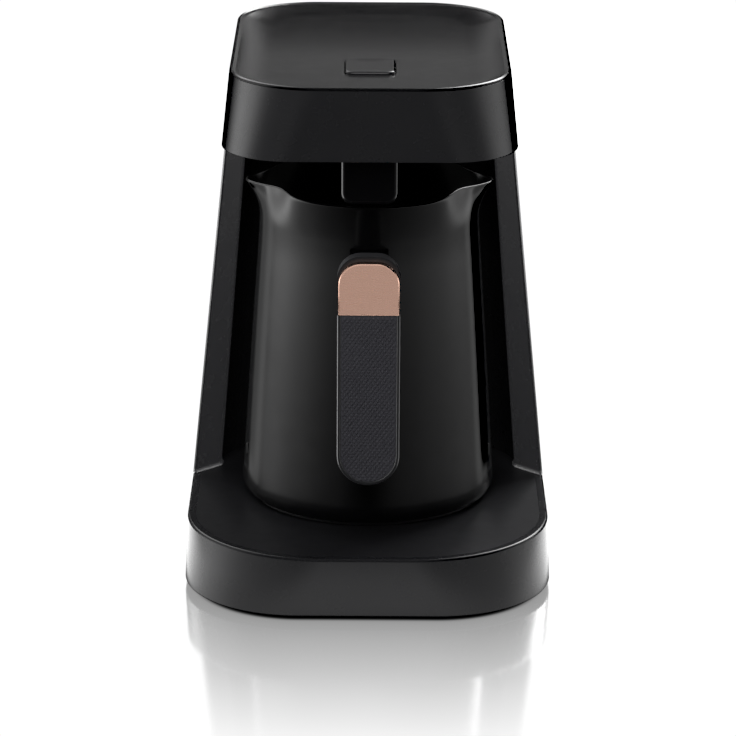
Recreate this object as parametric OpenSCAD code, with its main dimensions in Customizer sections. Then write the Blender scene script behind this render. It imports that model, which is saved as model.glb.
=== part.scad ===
// Electric coffee pot stand with a lift-out jug: a leaning column carries a
// heated-jug socket at its foot and a head with the foam sensor and the start
// button. The jug slides out forwards. Millimetres, +Z up, front towards -Y,
// origin on the floor under the axis of the jug.

/* [Base] */
// Width of the base at the floor
base_w = 155.4; // [150:0.2:165]
// Depth of the base at the floor
base_d = 182; // [178:1:196]
// Height of the tray surface above the floor
base_h = 28; // [26:1:32]
// How far the foot of the base stands out from its top edge
base_flare = 0.6; // [0.4:0.1:1.6]
// Plan radius of the front corners at the floor
base_front_r = 49; // [44:1:56]
// Plan radius of the front corners at the tray
tray_front_r = 59; // [52:1:62]
// Plan radius of the back corners
back_r = 35; // [32:1:40]
// Bevel round the top edge of the base
base_bevel = 1.2; // [0.8:0.1:1.6]
// Height of the rubber feet
foot_h = 3; // [2:0.5:4]
// Radius of a rubber foot
foot_r = 8; // [6:0.5:9]

/* [Column] */
// Wall thickness of the plastic mouldings
wall = 2.5; // [2:0.1:3]
// Depth of the column behind the bay, at the floor
column_d = 31; // [29:0.5:34]
// Gap between the foot of the jug and the sides of the bay
bay_side = 10.7; // [9:0.1:12]
// Gap between the pouring lips and the sides of the bay
lip_gap = 1; // [0.6:0.1:2]
// Gap between the jug and the back of the bay
bay_gap = 5.5; // [4:0.5:7]
// Distance behind the jug axis at which the bevelled front faces end
bay_front = 29; // [26:0.5:32]
// Plan radius of the back corners of the bay
bay_r = 27; // [20:1:28]
// Rounding between the bevelled front faces and the bay
nose_r = 2.6; // [1:0.1:4]
// How far the back of the column leans in up to the top
back_lean = 2.4; // [1:0.2:6]

/* [Head] */
// Overall height
total_h = 225; // [222:1:240]
// Width of the head at the top
head_w = 115.2; // [113:0.2:118]
// Height of the head's band
band_h = 30; // [28:1:34]
// Distance of the head's front face in front of the jug axis, at its lower edge
head_front = 82; // [78:1:86]
// How far the front face leans back up to the top
front_lean = 2.2; // [0:0.2:4]
// Plan radius of the head's front corners at the lower edge
head_low_r = 29; // [24:1:36]
// Plan radius of the head's front corners at the top
head_top_r = 38; // [32:1:42]
// Height of the top cover above its seam
cap_h = 2.5; // [2:0.1:3.5]
// Depth of the dished top
dish_depth = 5; // [3:0.5:6]

/* [Start button] */
// Width of the button
button_w = 21; // [18:1:24]
// Length of the button, front to back
button_l = 26; // [22:1:28]
// Distance of the button's centre in front of the jug axis
button_y = 21; // [18:1:26]
// How far the button stands above the dish
button_proud = 1.2; // [0.8:0.1:2]
// Travel of the button
button_travel = 1; // [0.5:0.1:1.5]

/* [Foam sensor] */
// Width of the sensor nose under the head
nose_w = 23.6; // [22:0.2:26]
// How far the sensor nose hangs below the head
nose_drop = 23; // [20:0.5:24]
// Distance of the nose's front face in front of the jug axis
nose_front = 62; // [58:1:66]
// Length of the sensor nose, front to back
nose_l = 48; // [44:1:54]
// Rounding of the lower corners of the nose
nose_corner = 5; // [4:0.5:7]

/* [Jug] */
// Greatest outer radius of the jug, just above its foot
jug_foot_r = 54.5; // [53:0.5:56]
// Outer radius of the jug at its neck
jug_neck_r = 46.5; // [45:0.5:47.5]
// Gap between the jug's rim and the sensor nose above it
rim_gap = 5.5; // [4:0.5:8]
// Wall of the jug
jug_wall = 1.2; // [0.8:0.1:1.6]
// How far each pouring lip reaches beyond the rim
lip_out = 5.6; // [3:0.2:6.4]
// How much the rim rises beside each pouring lip
lip_rise = 3; // [1:0.2:4]
// Height of the heated floor above the tray
jug_floor = 24; // [23:0.5:26]
// Running gap under the jug
jug_gap = 0.3; // [0.2:0.1:0.5]
// Height of the jug's lower edge above the tray
jug_edge = 2.2; // [2:0.1:3.4]
// Rounding of the jug above its lower edge
jug_soft = 5; // [3:0.5:6]

/* [Handle] */
// Width of the handle
handle_w = 25.8; // [24:0.2:28]
// Height of the handle's lower end above the tray
handle_low = 31; // [28:1:36]
// Distance of the handle's top below the jug's rim
handle_drop = 10.5; // [8:0.5:14]
// Height of the metal cap at the top of the handle
handle_cap_h = 24; // [20:0.5:26]
// Distance of the handle's front face in front of the jug axis
handle_front = 86; // [84:0.5:88]
// Rounding of the handle's upper corners
handle_top_r = 9.6; // [7:0.2:11]
// Thickness of the handle, front to back
handle_t = 12; // [11:0.5:13]
// Rim left round the grip
grip_rim = 1.4; // [1:0.1:2]
// Depth of the metal cap and of the grip's pocket
inlay_t = 3; // [2:0.2:3.6]
// Pitch of the studs on the grip
stud_pitch = 2.6; // [2:0.2:4]

/* [Plug at the back of the jug] */
// Height of the plug's middle above the tray
plug_z = 12; // [11:0.5:14]
// Width of the plug
plug_w = 30; // [28:1:34]
// Length of the plug
plug_l = 30; // [28:0.5:31]
// Height of the plug
plug_h = 12; // [11:0.5:13]
// How far the plug reaches into the column
plug_reach = 8; // [6:0.5:9]
// Radius of the contact pins
pin_r = 1.6; // [1.4:0.1:2]
// Distance between neighbouring pins
pin_pitch = 8.5; // [8:0.5:10]

/* [Cord outlet] */
// Radius of the outlet bore
cord_r = 3.6; // [3:0.1:4]
// Distance of the outlet left of the middle, seen from the front
cord_x = 28; // [20:1:32]

/* [Hidden] */
$fn = 64;

eps = 0.01;
seam = 0.25;          // gap between neighbouring mouldings
touch = 0.1;          // gap between a loose piece and its seat
corner_n = 12;        // straight pieces in a quarter of a plan corner

// ---- shared derived sizes ----
tray_t = wall;                        // thickness of the tray
tray_z = base_h - tray_t;             // underside of the tray
cover_z = foot_h + wall;              // inner face of the base cover
rim_w = wall + 1;                     // width of the base's top rim
ledge_w = rim_w + 2.5;                // inset of the ledge under the tray
ledge_t = 2;
base_top_hw = base_w / 2 - base_flare;
bay_back = jug_foot_r + bay_gap;      // flat back of the bay
base_y1 = bay_back + column_d;        // back of the base
base_y0 = base_y1 - base_d;           // front of the base
head_z = total_h - band_h;            // lower edge of the head
cap_z = total_h - cap_h;              // seam of the top cover
floor_z = head_z + wall;              // inner face of the head's floor
dish_z = total_h - dish_depth;        // floor of the dish
dish_under = dish_z - 2;              // its underside
bay_split = bay_front + nose_r + 3;   // where the liner starts
neck_h = 15;                          // height of the jug's neck
neck_flare = 1.1;                     // how far the neck opens towards the rim

// ---- lofting ----
function arc_pts(c, r, a0, a1, n) =
    [for (i = [0:n]) let (a = a0 + (a1 - a0) * i / n) c + r * [cos(a), sin(a)]];
function at_z(pts, z) = [for (p = pts) [p[0], p[1], z]];
function at_y(pts, y) = [for (p = pts) [p[0], y, p[1]]];

// Rounded plan outline, counter-clockwise, from the front right corner
function outline(hw, yf, yb, rf, rb) = concat(
    arc_pts([hw - rf, yf + rf], rf, -90, 0, corner_n),
    arc_pts([hw - rb, yb - rb], rb, 0, 90, corner_n),
    arc_pts([rb - hw, yb - rb], rb, 90, 180, corner_n),
    arc_pts([rf - hw, yf + rf], rf, 180, 270, corner_n));

function side_faces(n, k0, k1) = [for (i = [0:n - 1]) let (j = (i + 1) % n)
    each [[k0 * n + i, k1 * n + i, k1 * n + j], [k0 * n + i, k1 * n + j, k0 * n + j]]];

// Solid through rings of equally many points, closed by flat ends. Rings in
// plan run upwards; rings in the XZ plane run from the back to the front.
module loft(rings) {
    n = len(rings[0]);
    m = len(rings);
    polyhedron(points = [for (r = rings) each r], faces = concat(
        [[for (i = [0:n - 1]) i]],
        [for (k = [0:m - 2]) each side_faces(n, k, k + 1)],
        [[for (i = [n - 1:-1:0]) (m - 1) * n + i]]));
}

// The same without ends: the last ring joins the first, as in a tube's wall
module loop_loft(rings) {
    n = len(rings[0]);
    m = len(rings);
    polyhedron(points = [for (r = rings) each r],
        faces = [for (k = [0:m - 1]) each side_faces(n, k, (k + 1) % m)]);
}

// Round bar of radius r along a list of points
function unit(v) = v / norm(v);
function along(p, i) = unit(i == 0 ? p[1] - p[0]
    : i == len(p) - 1 ? p[i] - p[i - 1]
    : unit(p[i + 1] - p[i]) + unit(p[i] - p[i - 1]));
function bar_ring(c, t, r, up, n) = let (u = unit(cross(t, up)), v = cross(u, t))
    [for (k = [0:n - 1]) c + r * (cos(360 * k / n) * u - sin(360 * k / n) * v)];
module bar(path, r, up = [0, 0.2, 1], n = 8) {
    loft([for (i = [0:len(path) - 1]) bar_ring(path[i], along(path, i), r, up, n)]);
}

// Vertical screw with its head below: origin under the head's seat
module screw(head_r, head_t, shank_r, l) {
    translate([0, 0, -head_t]) cylinder(r = head_r, h = head_t);
    translate([0, 0, -eps]) cylinder(r = shank_r, h = l);
}

// ---- plan sections of the body ----
function up_share(z) = (z - base_h) / (total_h - base_h);
function body_hw(z) = base_top_hw + (head_w / 2 - base_top_hw) * up_share(z);
function body_back(z) = base_y1 - base_flare - back_lean * up_share(z);
function flare_at(z) = base_flare * (z - foot_h) / (base_h - foot_h);
function base_r(z) =
    base_front_r + (tray_front_r - base_front_r) * (z - foot_h) / (base_h - foot_h);
function base_ring(z, inset = 0) = at_z(outline(
    base_w / 2 - flare_at(z) - inset, base_y0 + flare_at(z) + inset,
    base_y1 - flare_at(z) - inset, base_r(z) - inset, back_r - inset), z);
function band_share(z) = (z - head_z) / band_h;
function head_r(z) = head_low_r + (head_top_r - head_low_r) * band_share(z);
function head_yf(z) = front_lean * band_share(z) - head_front;
function head_ring(z, inset = 0) = at_z(outline(body_hw(z) - inset,
    head_yf(z) + inset, body_back(z) - inset, head_r(z) - inset, back_r - inset), z);
// The bay clears the foot of the jug and, higher up, its pouring lips
bay_foot_hw = jug_foot_r + bay_side;
bay_rim_hw = jug_neck_r + neck_flare + lip_out + lip_gap;
function bay_hw(z) = bay_foot_hw
    + (bay_rim_hw - bay_foot_hw) * (z - base_h) / (rim_z - base_h);

// Plan of the bay and of all that lies in front of the column, grown by g
// into the column. The front faces are bevelled at 45 degrees.
function bay_half(hw, g) = let (far = 200, r = max(nose_r, g + eps))
    concat([[far, -far], [far, bay_front + g * sqrt(2) - (far - hw)]],
        arc_pts([hw + r, bay_front + r * (sqrt(2) - 1)], r - g, 225, 180, 4),
        arc_pts([hw - bay_r, bay_back - bay_r], bay_r + g, 0, 90, corner_n));
function mirrored(pts) = [for (i = [len(pts) - 1:-1:0]) [-pts[i][0], pts[i][1]]];
function bay_ring(z, g) = let (h = bay_half(bay_hw(z), g)) at_z(concat(h, mirrored(h)), z);

module bay(z0, z1, g = 0) { loft([bay_ring(z0, g), bay_ring(z1, g)]); }
module column_plan(z0, z1, inset, g) {
    difference() {
        loft([for (z = [z0, z1]) at_z(outline(body_hw(z) - inset, bay_front - 2 * back_r,
            body_back(z) - inset, back_r - inset, back_r - inset), z)]);
        bay(z0 - 1, z1 + 1, g);
    }
}
module behind(y, z0, z1) {
    translate([-base_w, y, z0]) cube([2 * base_w, base_d, z1 - z0]);
}

// ---- base ----
boss_r = 4.2;
pilot_r = 1.4;
screw_r = 1.25;
screw_head_r = 3;
side_x = base_w / 2;
base_screw_at = [for (s = [-1, 1]) each [[s * (side_x - 31.7), base_y0 + 33],
    [s * (side_x - 17.7), 0], [s * (side_x - 27.7), base_y1 - 37]]];
foot_at = [for (s = [-1, 1]) each [[s * (side_x - 23.7), base_y0 + 49],
    [s * (side_x - 21.7), base_y1 - 49]]];
lug_r = 11;                               // screw lug in each back corner of the column
lug_at = [base_top_hw, body_back(base_h)] - back_r * [1, 1] + (back_r - lug_r) * [cos(60), sin(60)];
column_screw_at = [lug_at, [-lug_at[0], lug_at[1]]];
wire_x = 32;                              // middle of the wires' way up
gland_z = foot_h + 12;
gland_end = base_y1 - 1;                // outer end of the cord gland
gland_l = 6;
gland_or = cord_r + 2.4;

module base_shell() color([0.17, 0.17, 0.18]) {
    difference() {
        loft([base_ring(foot_h, 1), base_ring(foot_h + 1), base_ring(base_h - base_bevel),
            base_ring(base_h, base_bevel)]);
        loft([base_ring(foot_h - 1, wall), base_ring(tray_z - ledge_t, wall)]);
        loft([base_ring(tray_z - ledge_t - 1, ledge_w), base_ring(base_h + 1, ledge_w)]);
        loft([base_ring(tray_z, rim_w), base_ring(base_h + 1, rim_w)]);
        translate([-cord_x, base_y1 - 2 * wall, gland_z]) rotate([-90, 0, 0])
            cylinder(r = gland_or + touch, h = 4 * wall);
    }
}

module tray() color([0.05, 0.05, 0.06]) {
    difference() {
        union() {
            loft([base_ring(tray_z, rim_w + seam), base_ring(base_h, rim_w + seam)]);
            for (p = base_screw_at) translate([p[0], p[1], cover_z])
                cylinder(r = boss_r, h = tray_z - cover_z + eps);
        }
        for (p = base_screw_at) translate([p[0], p[1], cover_z - 1])
            cylinder(r = pilot_r, h = 12);
        for (p = column_screw_at) translate([p[0], p[1], tray_z - 1])
            cylinder(r = pilot_r, h = tray_t + 2);
        // way up for the wires, under the column
        translate([wire_x - 8, bay_back + wall + 4, tray_z - 1]) cube([16, 12, tray_t + 2]);
    }
}

module base_cover() color([0.07, 0.07, 0.07]) {
    slot_l = 26;
    difference() {
        loft([base_ring(foot_h, wall + seam), base_ring(cover_z - touch, wall + seam)]);
        for (p = base_screw_at) translate([p[0], p[1], foot_h - 1]) {
            cylinder(r = screw_r + 0.3, h = wall + 2);
            cylinder(r = screw_head_r + 0.2, h = 1 + wall / 2);
        }
        for (p = foot_at) translate([p[0], p[1], foot_h - 1])
            cylinder(r = foot_r / 2 + touch, h = wall + 2);
        // air slots
        for (s = [-1, 1], i = [0:5])
            translate([s * 24 - slot_l / 2, 22 + 6 * i, foot_h - 1])
                cube([slot_l, 2.4, wall + 2]);
    }
}

module feet() color([0.1, 0.1, 0.1]) {
    for (p = foot_at) translate([p[0], p[1], 0]) rotate_extrude() polygon([[0, 0],
        [foot_r - 0.8, 0], [foot_r, 0.8], [foot_r, foot_h - touch],
        [foot_r / 2, foot_h - touch], [foot_r / 2, cover_z], [foot_r / 2 + 1, cover_z],
        [foot_r / 2 - 0.6, cover_z + 2.4], [0, cover_z + 2.4]]);
}

module base_screws() color([0.75, 0.75, 0.76]) {
    for (p = base_screw_at) translate([p[0], p[1], foot_h + wall / 2])
        screw(screw_head_r, wall / 2 - 0.2, screw_r, 10);
}

// Bush in the back wall that the supply cord would pass through
module cord_gland() color([0.08, 0.08, 0.08]) {
    translate([-cord_x, gland_end - gland_l, gland_z]) rotate([-90, 0, 0]) difference() {
        union() {
            cylinder(r = gland_or, h = gland_l);
            cylinder(r = gland_or + 2, h = gland_l - wall - 0.8);
        }
        translate([0, 0, -1]) cylinder(r = cord_r, h = gland_l + 2);
    }
}

// Mains terminals on the base cover, beside the cord outlet
clamp_pitch = 9;
clamp_l = 13;
clamp_h = 10;
clamp_x = 14;
clamp_y = base_y1 - 10 - clamp_l;
module terminal_block() color([0.85, 0.84, 0.8]) {
    translate([clamp_x, clamp_y, cover_z]) difference() {
        cube([3 * clamp_pitch, clamp_l, clamp_h]);
        for (i = [0:2]) translate([(i + 0.5) * clamp_pitch, clamp_l / 2, clamp_h / 2])
            cylinder(r = 2.6, h = clamp_h);
    }
}

// ---- column ----
module column_shell() color([0.14, 0.14, 0.15]) {
    lug_h = 9;
    difference() {
        union() {
            difference() {
                column_plan(base_h, head_z, 0, 0);
                column_plan(base_h - 1, head_z + 1, wall, wall);
                intersection() {
                    bay(base_h - 2, head_z + 2, wall + seam);
                    behind(bay_split, base_h - 1, head_z + 1);
                }
            }
            // screw lugs at the foot
            intersection() {
                column_plan(base_h, base_h + lug_h, wall / 2, wall + seam);
                for (p = column_screw_at) translate([p[0], p[1], base_h])
                    cylinder(r = lug_r, h = lug_h);
            }
        }
        for (p = column_screw_at) translate([p[0], p[1], base_h - 1])
            cylinder(r = pilot_r, h = lug_h - 1);
    }
}

module column_liner() color([0.03, 0.03, 0.035]) {
    difference() {
        union() {
            intersection() {
                difference() {
                    bay(base_h, head_z, wall);
                    bay(base_h - 1, head_z + 1, 0);
                }
                behind(bay_split + seam, base_h, head_z);
            }
            // posts for the power board
            for (x = [-1, 1], z = power_screw_z) translate([x * power_screw_x, bay_back + wall - eps, z])
                rotate([-90, 0, 0]) cylinder(r = 3, h = power_y - bay_back - wall - touch);
        }
        for (x = [-1, 1], z = power_screw_z) translate([x * power_screw_x, bay_back + wall + 0.6, z])
            rotate([-90, 0, 0]) cylinder(r = pilot_r - 0.2, h = power_y);
        // opening for the socket
        translate([-socket_w / 2, bay_back - 5, socket_z0]) cube([socket_w, 5 + 2 * wall, socket_h]);
        for (x = [-1, 1]) translate([x * socket_screw_x, bay_back - 1, socket_mid])
            rotate([-90, 0, 0]) cylinder(r = pilot_r, h = wall + 2);
    }
}

module column_screws() color([0.75, 0.75, 0.76]) {
    for (p = column_screw_at) translate([p[0], p[1], tray_z])
        screw(screw_head_r, 1.6, screw_r, 9);
}

// ---- head ----
head_screw_at = [for (s = [-1, 1]) each [[s * (head_w / 2 - 19.6), 28 - head_front],
    [s * 30, base_y1 - 21]]];
head_ledge_z = floor_z + touch;
board_t = 1.6;
board_z = floor_z + 5.5;              // underside of the control board
board_w = 56;
board_l = 80;
board_screw_at = [for (s = [-1, 1]) each [[s * (board_w / 2 - 4), 4 - board_l / 2],
    [s * (board_w / 2 - 4), board_l / 2 - 6]]];
pod_y0 = -nose_front;
pod_y1 = nose_l - nose_front;
pod_z = head_z - nose_drop;
pod_wall = 1.8;
pod_screw_y = pod_y1 - 3;
window_y = pod_y0 + 22;
window_r = 5.2;

module head_shell() color([0.12, 0.12, 0.13]) {
    difference() {
        loft([head_ring(head_z, 0.8), head_ring(head_z + 0.8), head_ring(cap_z)]);
        loft([head_ring(head_z - 1, wall), head_ring(head_ledge_z, wall)]);
        loft([head_ring(head_z, wall + 2), head_ring(total_h, wall + 2)]);
        loft([head_ring(head_ledge_z + 2, wall), head_ring(total_h, wall)]);
    }
}

// Rounded rectangle in plan, centred on the button
function pad_pts(hw, hl, r) = concat(
    arc_pts([hw - r, r - hl], r, -90, 0, 4), arc_pts([hw - r, hl - r], r, 0, 90, 4),
    arc_pts([r - hw, hl - r], r, 90, 180, 4), arc_pts([r - hw, r - hl], r, 180, 270, 4));
module pad(grow, r, z0, z1) {
    translate([0, -button_y, z0]) linear_extrude(z1 - z0)
        polygon(pad_pts(button_w / 2 + grow, button_l / 2 + grow, r));
}

button_r = 4;
button_gap = 0.3;
collar_z = dish_under - 4;
collar_t = 1.6;

// Dished cover with a raised lip and the collar that guides the button
module head_top() color([0.2, 0.2, 0.21]) {
    lip_w = 2.6;
    difference() {
        union() {
            difference() {
                loft([head_ring(dish_under, wall + seam), head_ring(cap_z, wall + seam),
                    head_ring(cap_z), head_ring(total_h - 0.9), head_ring(total_h, 0.9)]);
                loft([head_ring(dish_z, 15), head_ring(dish_z + 0.9, 9),
                    head_ring(dish_z + 2.8, 4.6), head_ring(total_h, lip_w),
                    head_ring(total_h + 1, lip_w)]);
            }
            pad(collar_t, button_r + collar_t, collar_z, dish_under + eps);
            for (p = head_screw_at) translate([p[0], p[1], floor_z + touch])
                cylinder(r = boss_r, h = dish_under - floor_z);
        }
        pad(button_gap, button_r, collar_z - 1, total_h);
        for (p = head_screw_at) translate([p[0], p[1], floor_z - 1])
            cylinder(r = pilot_r, h = 12);
    }
}

module head_floor() color([0.04, 0.04, 0.045]) {
    difference() {
        union() {
            loft([head_ring(head_z, wall + seam), head_ring(floor_z, wall + seam)]);
            for (p = board_screw_at) translate([p[0], p[1], floor_z - eps])
                cylinder(r = 3, h = board_z - floor_z - touch);
        }
        for (p = board_screw_at) translate([p[0], p[1], floor_z])
            cylinder(r = pilot_r - 0.3, h = board_z);
        for (p = head_screw_at) translate([p[0], p[1], head_z - 1]) {
            cylinder(r = screw_r + 0.3, h = wall + 2);
            cylinder(r = screw_head_r + 0.2, h = 1 + wall / 2);
        }
        // wire ways into the column and into the nose
        translate([-18, bay_back + wall + 2, head_z - 1]) cube([36, 14, wall + 2]);
        translate([-5, window_y + 14, head_z - 1]) cube([10, 8, wall + 2]);
        translate([0, pod_screw_y, head_z - 1]) cylinder(r = screw_r + 0.3, h = wall + 2);
    }
}

module head_screws() color([0.75, 0.75, 0.76]) {
    for (p = head_screw_at) translate([p[0], p[1], head_z + wall / 2])
        screw(screw_head_r, wall / 2 - 0.2, screw_r, 10);
}

// Section of the nose: flat top, round lower corners
function nose_ring(y, hw, z0, z1, r) = at_y(concat([[-hw, z1]],
    arc_pts([r - hw, z0 + r], r, 180, 270, 8), arc_pts([hw - r, z0 + r], r, 270, 360, 8),
    [[hw, z1]]), y);
module nose_solid(inset, z1) {
    hw = nose_w / 2 - inset;
    y0 = pod_y0 + inset;
    y1 = pod_y1 - inset;
    soft = 1;
    z0 = pod_z + inset;
    r = nose_corner - inset;
    loft([nose_ring(y1, hw - soft, z0 + soft, z1, r), nose_ring(y1 - soft, hw, z0, z1, r),
        nose_ring(y0 + soft, hw, z0, z1, r), nose_ring(y0, hw - soft, z0 + soft, z1, r)]);
}

module sensor_pod() color([0.02, 0.02, 0.025]) {
    difference() {
        union() {
            difference() {
                nose_solid(0, head_z);
                nose_solid(pod_wall, head_z + 1);
            }
            // post for the screw from the head
            translate([0, pod_screw_y, pod_z + pod_wall - eps])
                cylinder(r = 3.6, h = nose_drop - pod_wall);
        }
        translate([0, pod_screw_y, head_z - 10]) cylinder(r = pilot_r - 0.2, h = 11);
        translate([0, window_y, pod_z - 1]) cylinder(r = window_r + 0.05, h = pod_wall + 2);
    }
}

module sensor_window() color([0.15, 0.02, 0.05]) {
    translate([0, window_y, pod_z + 0.2]) cylinder(r = window_r, h = pod_wall);
    translate([0, window_y, pod_z + pod_wall + touch]) cylinder(r = window_r + 1.2, h = 1);
}

sense_z = pod_z + pod_wall + 6;
module sensor_board() color([0.05, 0.3, 0.15]) {
    translate([-9, window_y - 12, sense_z]) cube([18, 24, board_t]);
    // feet of the board on the nose's floor
    for (x = [-6, 4], y = [-11, 9]) translate([x, window_y + y, pod_z + pod_wall + 0.1])
        cube([2, 2, sense_z - pod_z - pod_wall]);
}

module sensor_eyes() color([0.1, 0.1, 0.35]) {
    for (x = [-3, 3]) translate([x, window_y, pod_z + pod_wall + 3.4]) {
        cylinder(r = 2, h = sense_z - pod_z - pod_wall - 3.4 - touch);
        sphere(r = 2);
    }
}

// ---- start button ----
switch_z = board_z + board_t + touch;  // underside of the switch
switch_h = 4;
switch_top = switch_z + switch_h;
button_z = dish_z + button_proud;      // top of the button
stem_z = switch_top + button_travel + 0.6;  // lower end of its stem
flange_z = collar_z - 1.6;
spring_r = 3.6;
wire_r = 0.35;

module button() color([0.16, 0.16, 0.17]) {
    skin = 1.8;
    difference() {
        union() {
            translate([0, -button_y, 0]) loft([
                at_z(pad_pts(button_w / 2, button_l / 2, button_r), flange_z),
                at_z(pad_pts(button_w / 2, button_l / 2, button_r), button_z - 0.7),
                at_z(pad_pts(button_w / 2 - 0.7, button_l / 2 - 0.7, button_r - 0.7), button_z)]);
            pad(1.4, button_r, flange_z, collar_z - touch);
        }
        pad(-skin, button_r - skin, flange_z - 1, button_z - skin);
    }
    translate([0, -button_y, stem_z]) cylinder(r = 1.9, h = button_z - skin - stem_z + eps);
}

module switch_plunger() color([0.85, 0.85, 0.82]) {
    translate([0, -button_y, switch_z + 1.2]) cylinder(r = 1.6, h = stem_z - switch_z - 1.2);
}

module button_spring() color([0.75, 0.75, 0.76]) {
    turns = 4;
    steps = 12;
    z0 = switch_top + wire_r + 0.05;
    rise = button_z - 1.8 - wire_r - 0.05 - z0;
    translate([0, -button_y, z0]) bar([for (i = [0:turns * steps]) let (a = 360 * i / steps)
        [spring_r * cos(a), spring_r * sin(a), rise * i / (turns * steps)]],
        wire_r, [0, 0, 1], 6);
}

module start_switch() color([0.08, 0.08, 0.08]) {
    translate([0, -button_y, 0]) {
        difference() {
            translate([-5, -5, switch_z]) cube([10, 10, switch_h]);
            translate([0, 0, switch_z + 0.1]) cylinder(r = 1.66, h = switch_h);
        }
    }
}

module control_board() color([0.05, 0.3, 0.15]) {
    difference() {
        translate([-board_w / 2, -board_l / 2, board_z]) cube([board_w, board_l, board_t]);
        for (p = board_screw_at) translate([p[0], p[1], board_z - 1])
            cylinder(r = 1.4, h = board_t + 2);
        // way down for the sensor's wires
        translate([-6, pod_y1 + 20, board_z - 1]) cube([12, 5, board_t + 2]);
    }
}

module on_board(x, y) { translate([x, y, board_z + board_t + touch]) children(); }

module microcontroller() color([0.03, 0.03, 0.03]) {
    on_board(-20, 14) {
        translate([0, 0, 0.4]) cube([10, 10, 1.4]);
        for (s = [-1.2, 10], i = [0:5]) {
            translate([s, 0.7 + 1.6 * i, 0]) cube([1.2, 0.6, 0.6]);
            translate([0.7 + 1.6 * i, s, 0]) cube([0.6, 1.2, 0.6]);
        }
    }
}

module buzzer() color([0.04, 0.04, 0.04]) {
    on_board(14, 20) difference() {
        cylinder(r = 6, h = 8.5);
        translate([0, 0, 7]) cylinder(r = 1.2, h = 3);
    }
}

module status_led() color([0.95, 0.6, 0.3]) {
    on_board(7.2, -button_y - 7) {
        cylinder(r = 1.5, h = 4);
        translate([0, 0, 4]) sphere(r = 1.5);
    }
}

module board_screws() color([0.75, 0.75, 0.76]) {
    for (p = board_screw_at) translate([p[0], p[1], board_z + board_t + touch])
        rotate([180, 0, 0]) screw(2.2, 1.4, 1, 5);
    // screw of the sensor nose
    translate([0, pod_screw_y, floor_z + touch]) rotate([180, 0, 0]) screw(2.2, 1.4, 1, 9);
}

// ---- power board inside the column ----
power_w = 64;
power_h = 70;
power_z = base_h + 50;                 // lower edge of the board
power_y = bay_back + wall + 3.5;
power_screw_x = power_w / 2 - 5;
power_screw_z = [power_z + 6, power_z + power_h - 6];
power_back = power_y + board_t;
core_w = 20;
core_h = 18;
core_t = 5;
coil_t = 8;
relay_w = 15;
relay_d = 12;
relay_h = 19;
can_r = 6;
can_l = 13;

module power_board() color([0.05, 0.3, 0.15]) {
    difference() {
        translate([-power_w / 2, power_y, power_z]) cube([power_w, board_t, power_h]);
        for (x = [-1, 1], z = power_screw_z) translate([x * power_screw_x, power_y - 1, z])
            rotate([-90, 0, 0]) cylinder(r = 1.4, h = board_t + 2);
    }
}

module on_power(x, z) { translate([x, power_back + touch, power_z + z]) children(); }

module transformer() color([0.85, 0.75, 0.3]) {
    flange_t = 2.4;
    on_power(-core_w - 2, 20) {
        cube([core_w, core_t, core_h]);
        translate([3, core_t - eps, 3]) cube([core_w - 6, coil_t, core_h - 6]);
        for (z = [0, core_h - flange_t]) translate([1, core_t - eps, z])
            cube([core_w - 2, coil_t, flange_t]);
    }
}
module relay() color([0.1, 0.25, 0.6]) { on_power(4, 18) cube([relay_w, relay_d, relay_h]); }
module filter_capacitor() color([0.1, 0.1, 0.12]) {
    on_power(-can_r - 4, 52) rotate([-90, 0, 0]) cylinder(r = can_r, h = can_l);
    on_power(can_r + 2, 52) rotate([-90, 0, 0]) cylinder(r = can_r - 2, h = can_l - 3);
}
module power_screws() color([0.75, 0.75, 0.76]) {
    for (x = [-1, 1], z = power_screw_z)
        translate([x * power_screw_x, power_back + touch, z]) rotate([90, 0, 0])
            screw(2.2, 1.4, 1, 4.6);
}

// ---- socket low in the back of the bay ----
plug_fit = 0.5;
socket_mid = base_h + plug_z;
socket_w = plug_w + 2 * plug_fit;
socket_h = plug_h + 2 * plug_fit;
socket_z0 = socket_mid - socket_h / 2;
socket_screw_x = socket_w / 2 + 5;
socket_face = bay_back + wall + touch;   // front face of the housing
plug_end = bay_back + plug_reach;
socket_floor = plug_end + 0.6;
socket_back = socket_floor + 10;
pin_l = 7;
pin_fit = 0.05;
sleeve_r = pin_r + 1;

module facing_back(x, y, z) { translate([x, y, z]) rotate([-90, 0, 0]) children(); }

module socket_housing() color([0.1, 0.1, 0.1]) {
    rim = 3;
    flange_w = 2 * socket_screw_x + 8;
    difference() {
        union() {
            translate([-socket_w / 2 - rim, socket_face, socket_z0 - rim])
                cube([socket_w + 2 * rim, socket_back - socket_face, socket_h + 2 * rim]);
            translate([-flange_w / 2, socket_face, socket_z0 - rim])
                cube([flange_w, 2.4, socket_h + 2 * rim]);
            for (x = [-1, 1]) facing_back(x * socket_screw_x, bay_back + 0.2, socket_mid)
                cylinder(r = pilot_r - 0.1, h = socket_face - bay_back);
        }
        translate([-socket_w / 2, socket_face - 1, socket_z0])
            cube([socket_w, socket_floor - socket_face + 1, socket_h]);
        for (i = [-1:1]) facing_back(i * pin_pitch, socket_floor - 1, socket_mid)
            cylinder(r = sleeve_r, h = socket_back);
    }
}

module socket_contacts() color([0.85, 0.7, 0.35]) {
    for (i = [-1:1]) facing_back(i * pin_pitch, socket_floor + 0.2, socket_mid) {
        difference() {
            cylinder(r = sleeve_r - touch, h = socket_back - socket_floor + 1.8);
            translate([0, 0, -1]) cylinder(r = pin_r + pin_fit, h = pin_l + 3);
        }
        translate([0, 0, socket_back - socket_floor]) cylinder(r = sleeve_r + 0.6, h = 1.8);
    }
}

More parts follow.
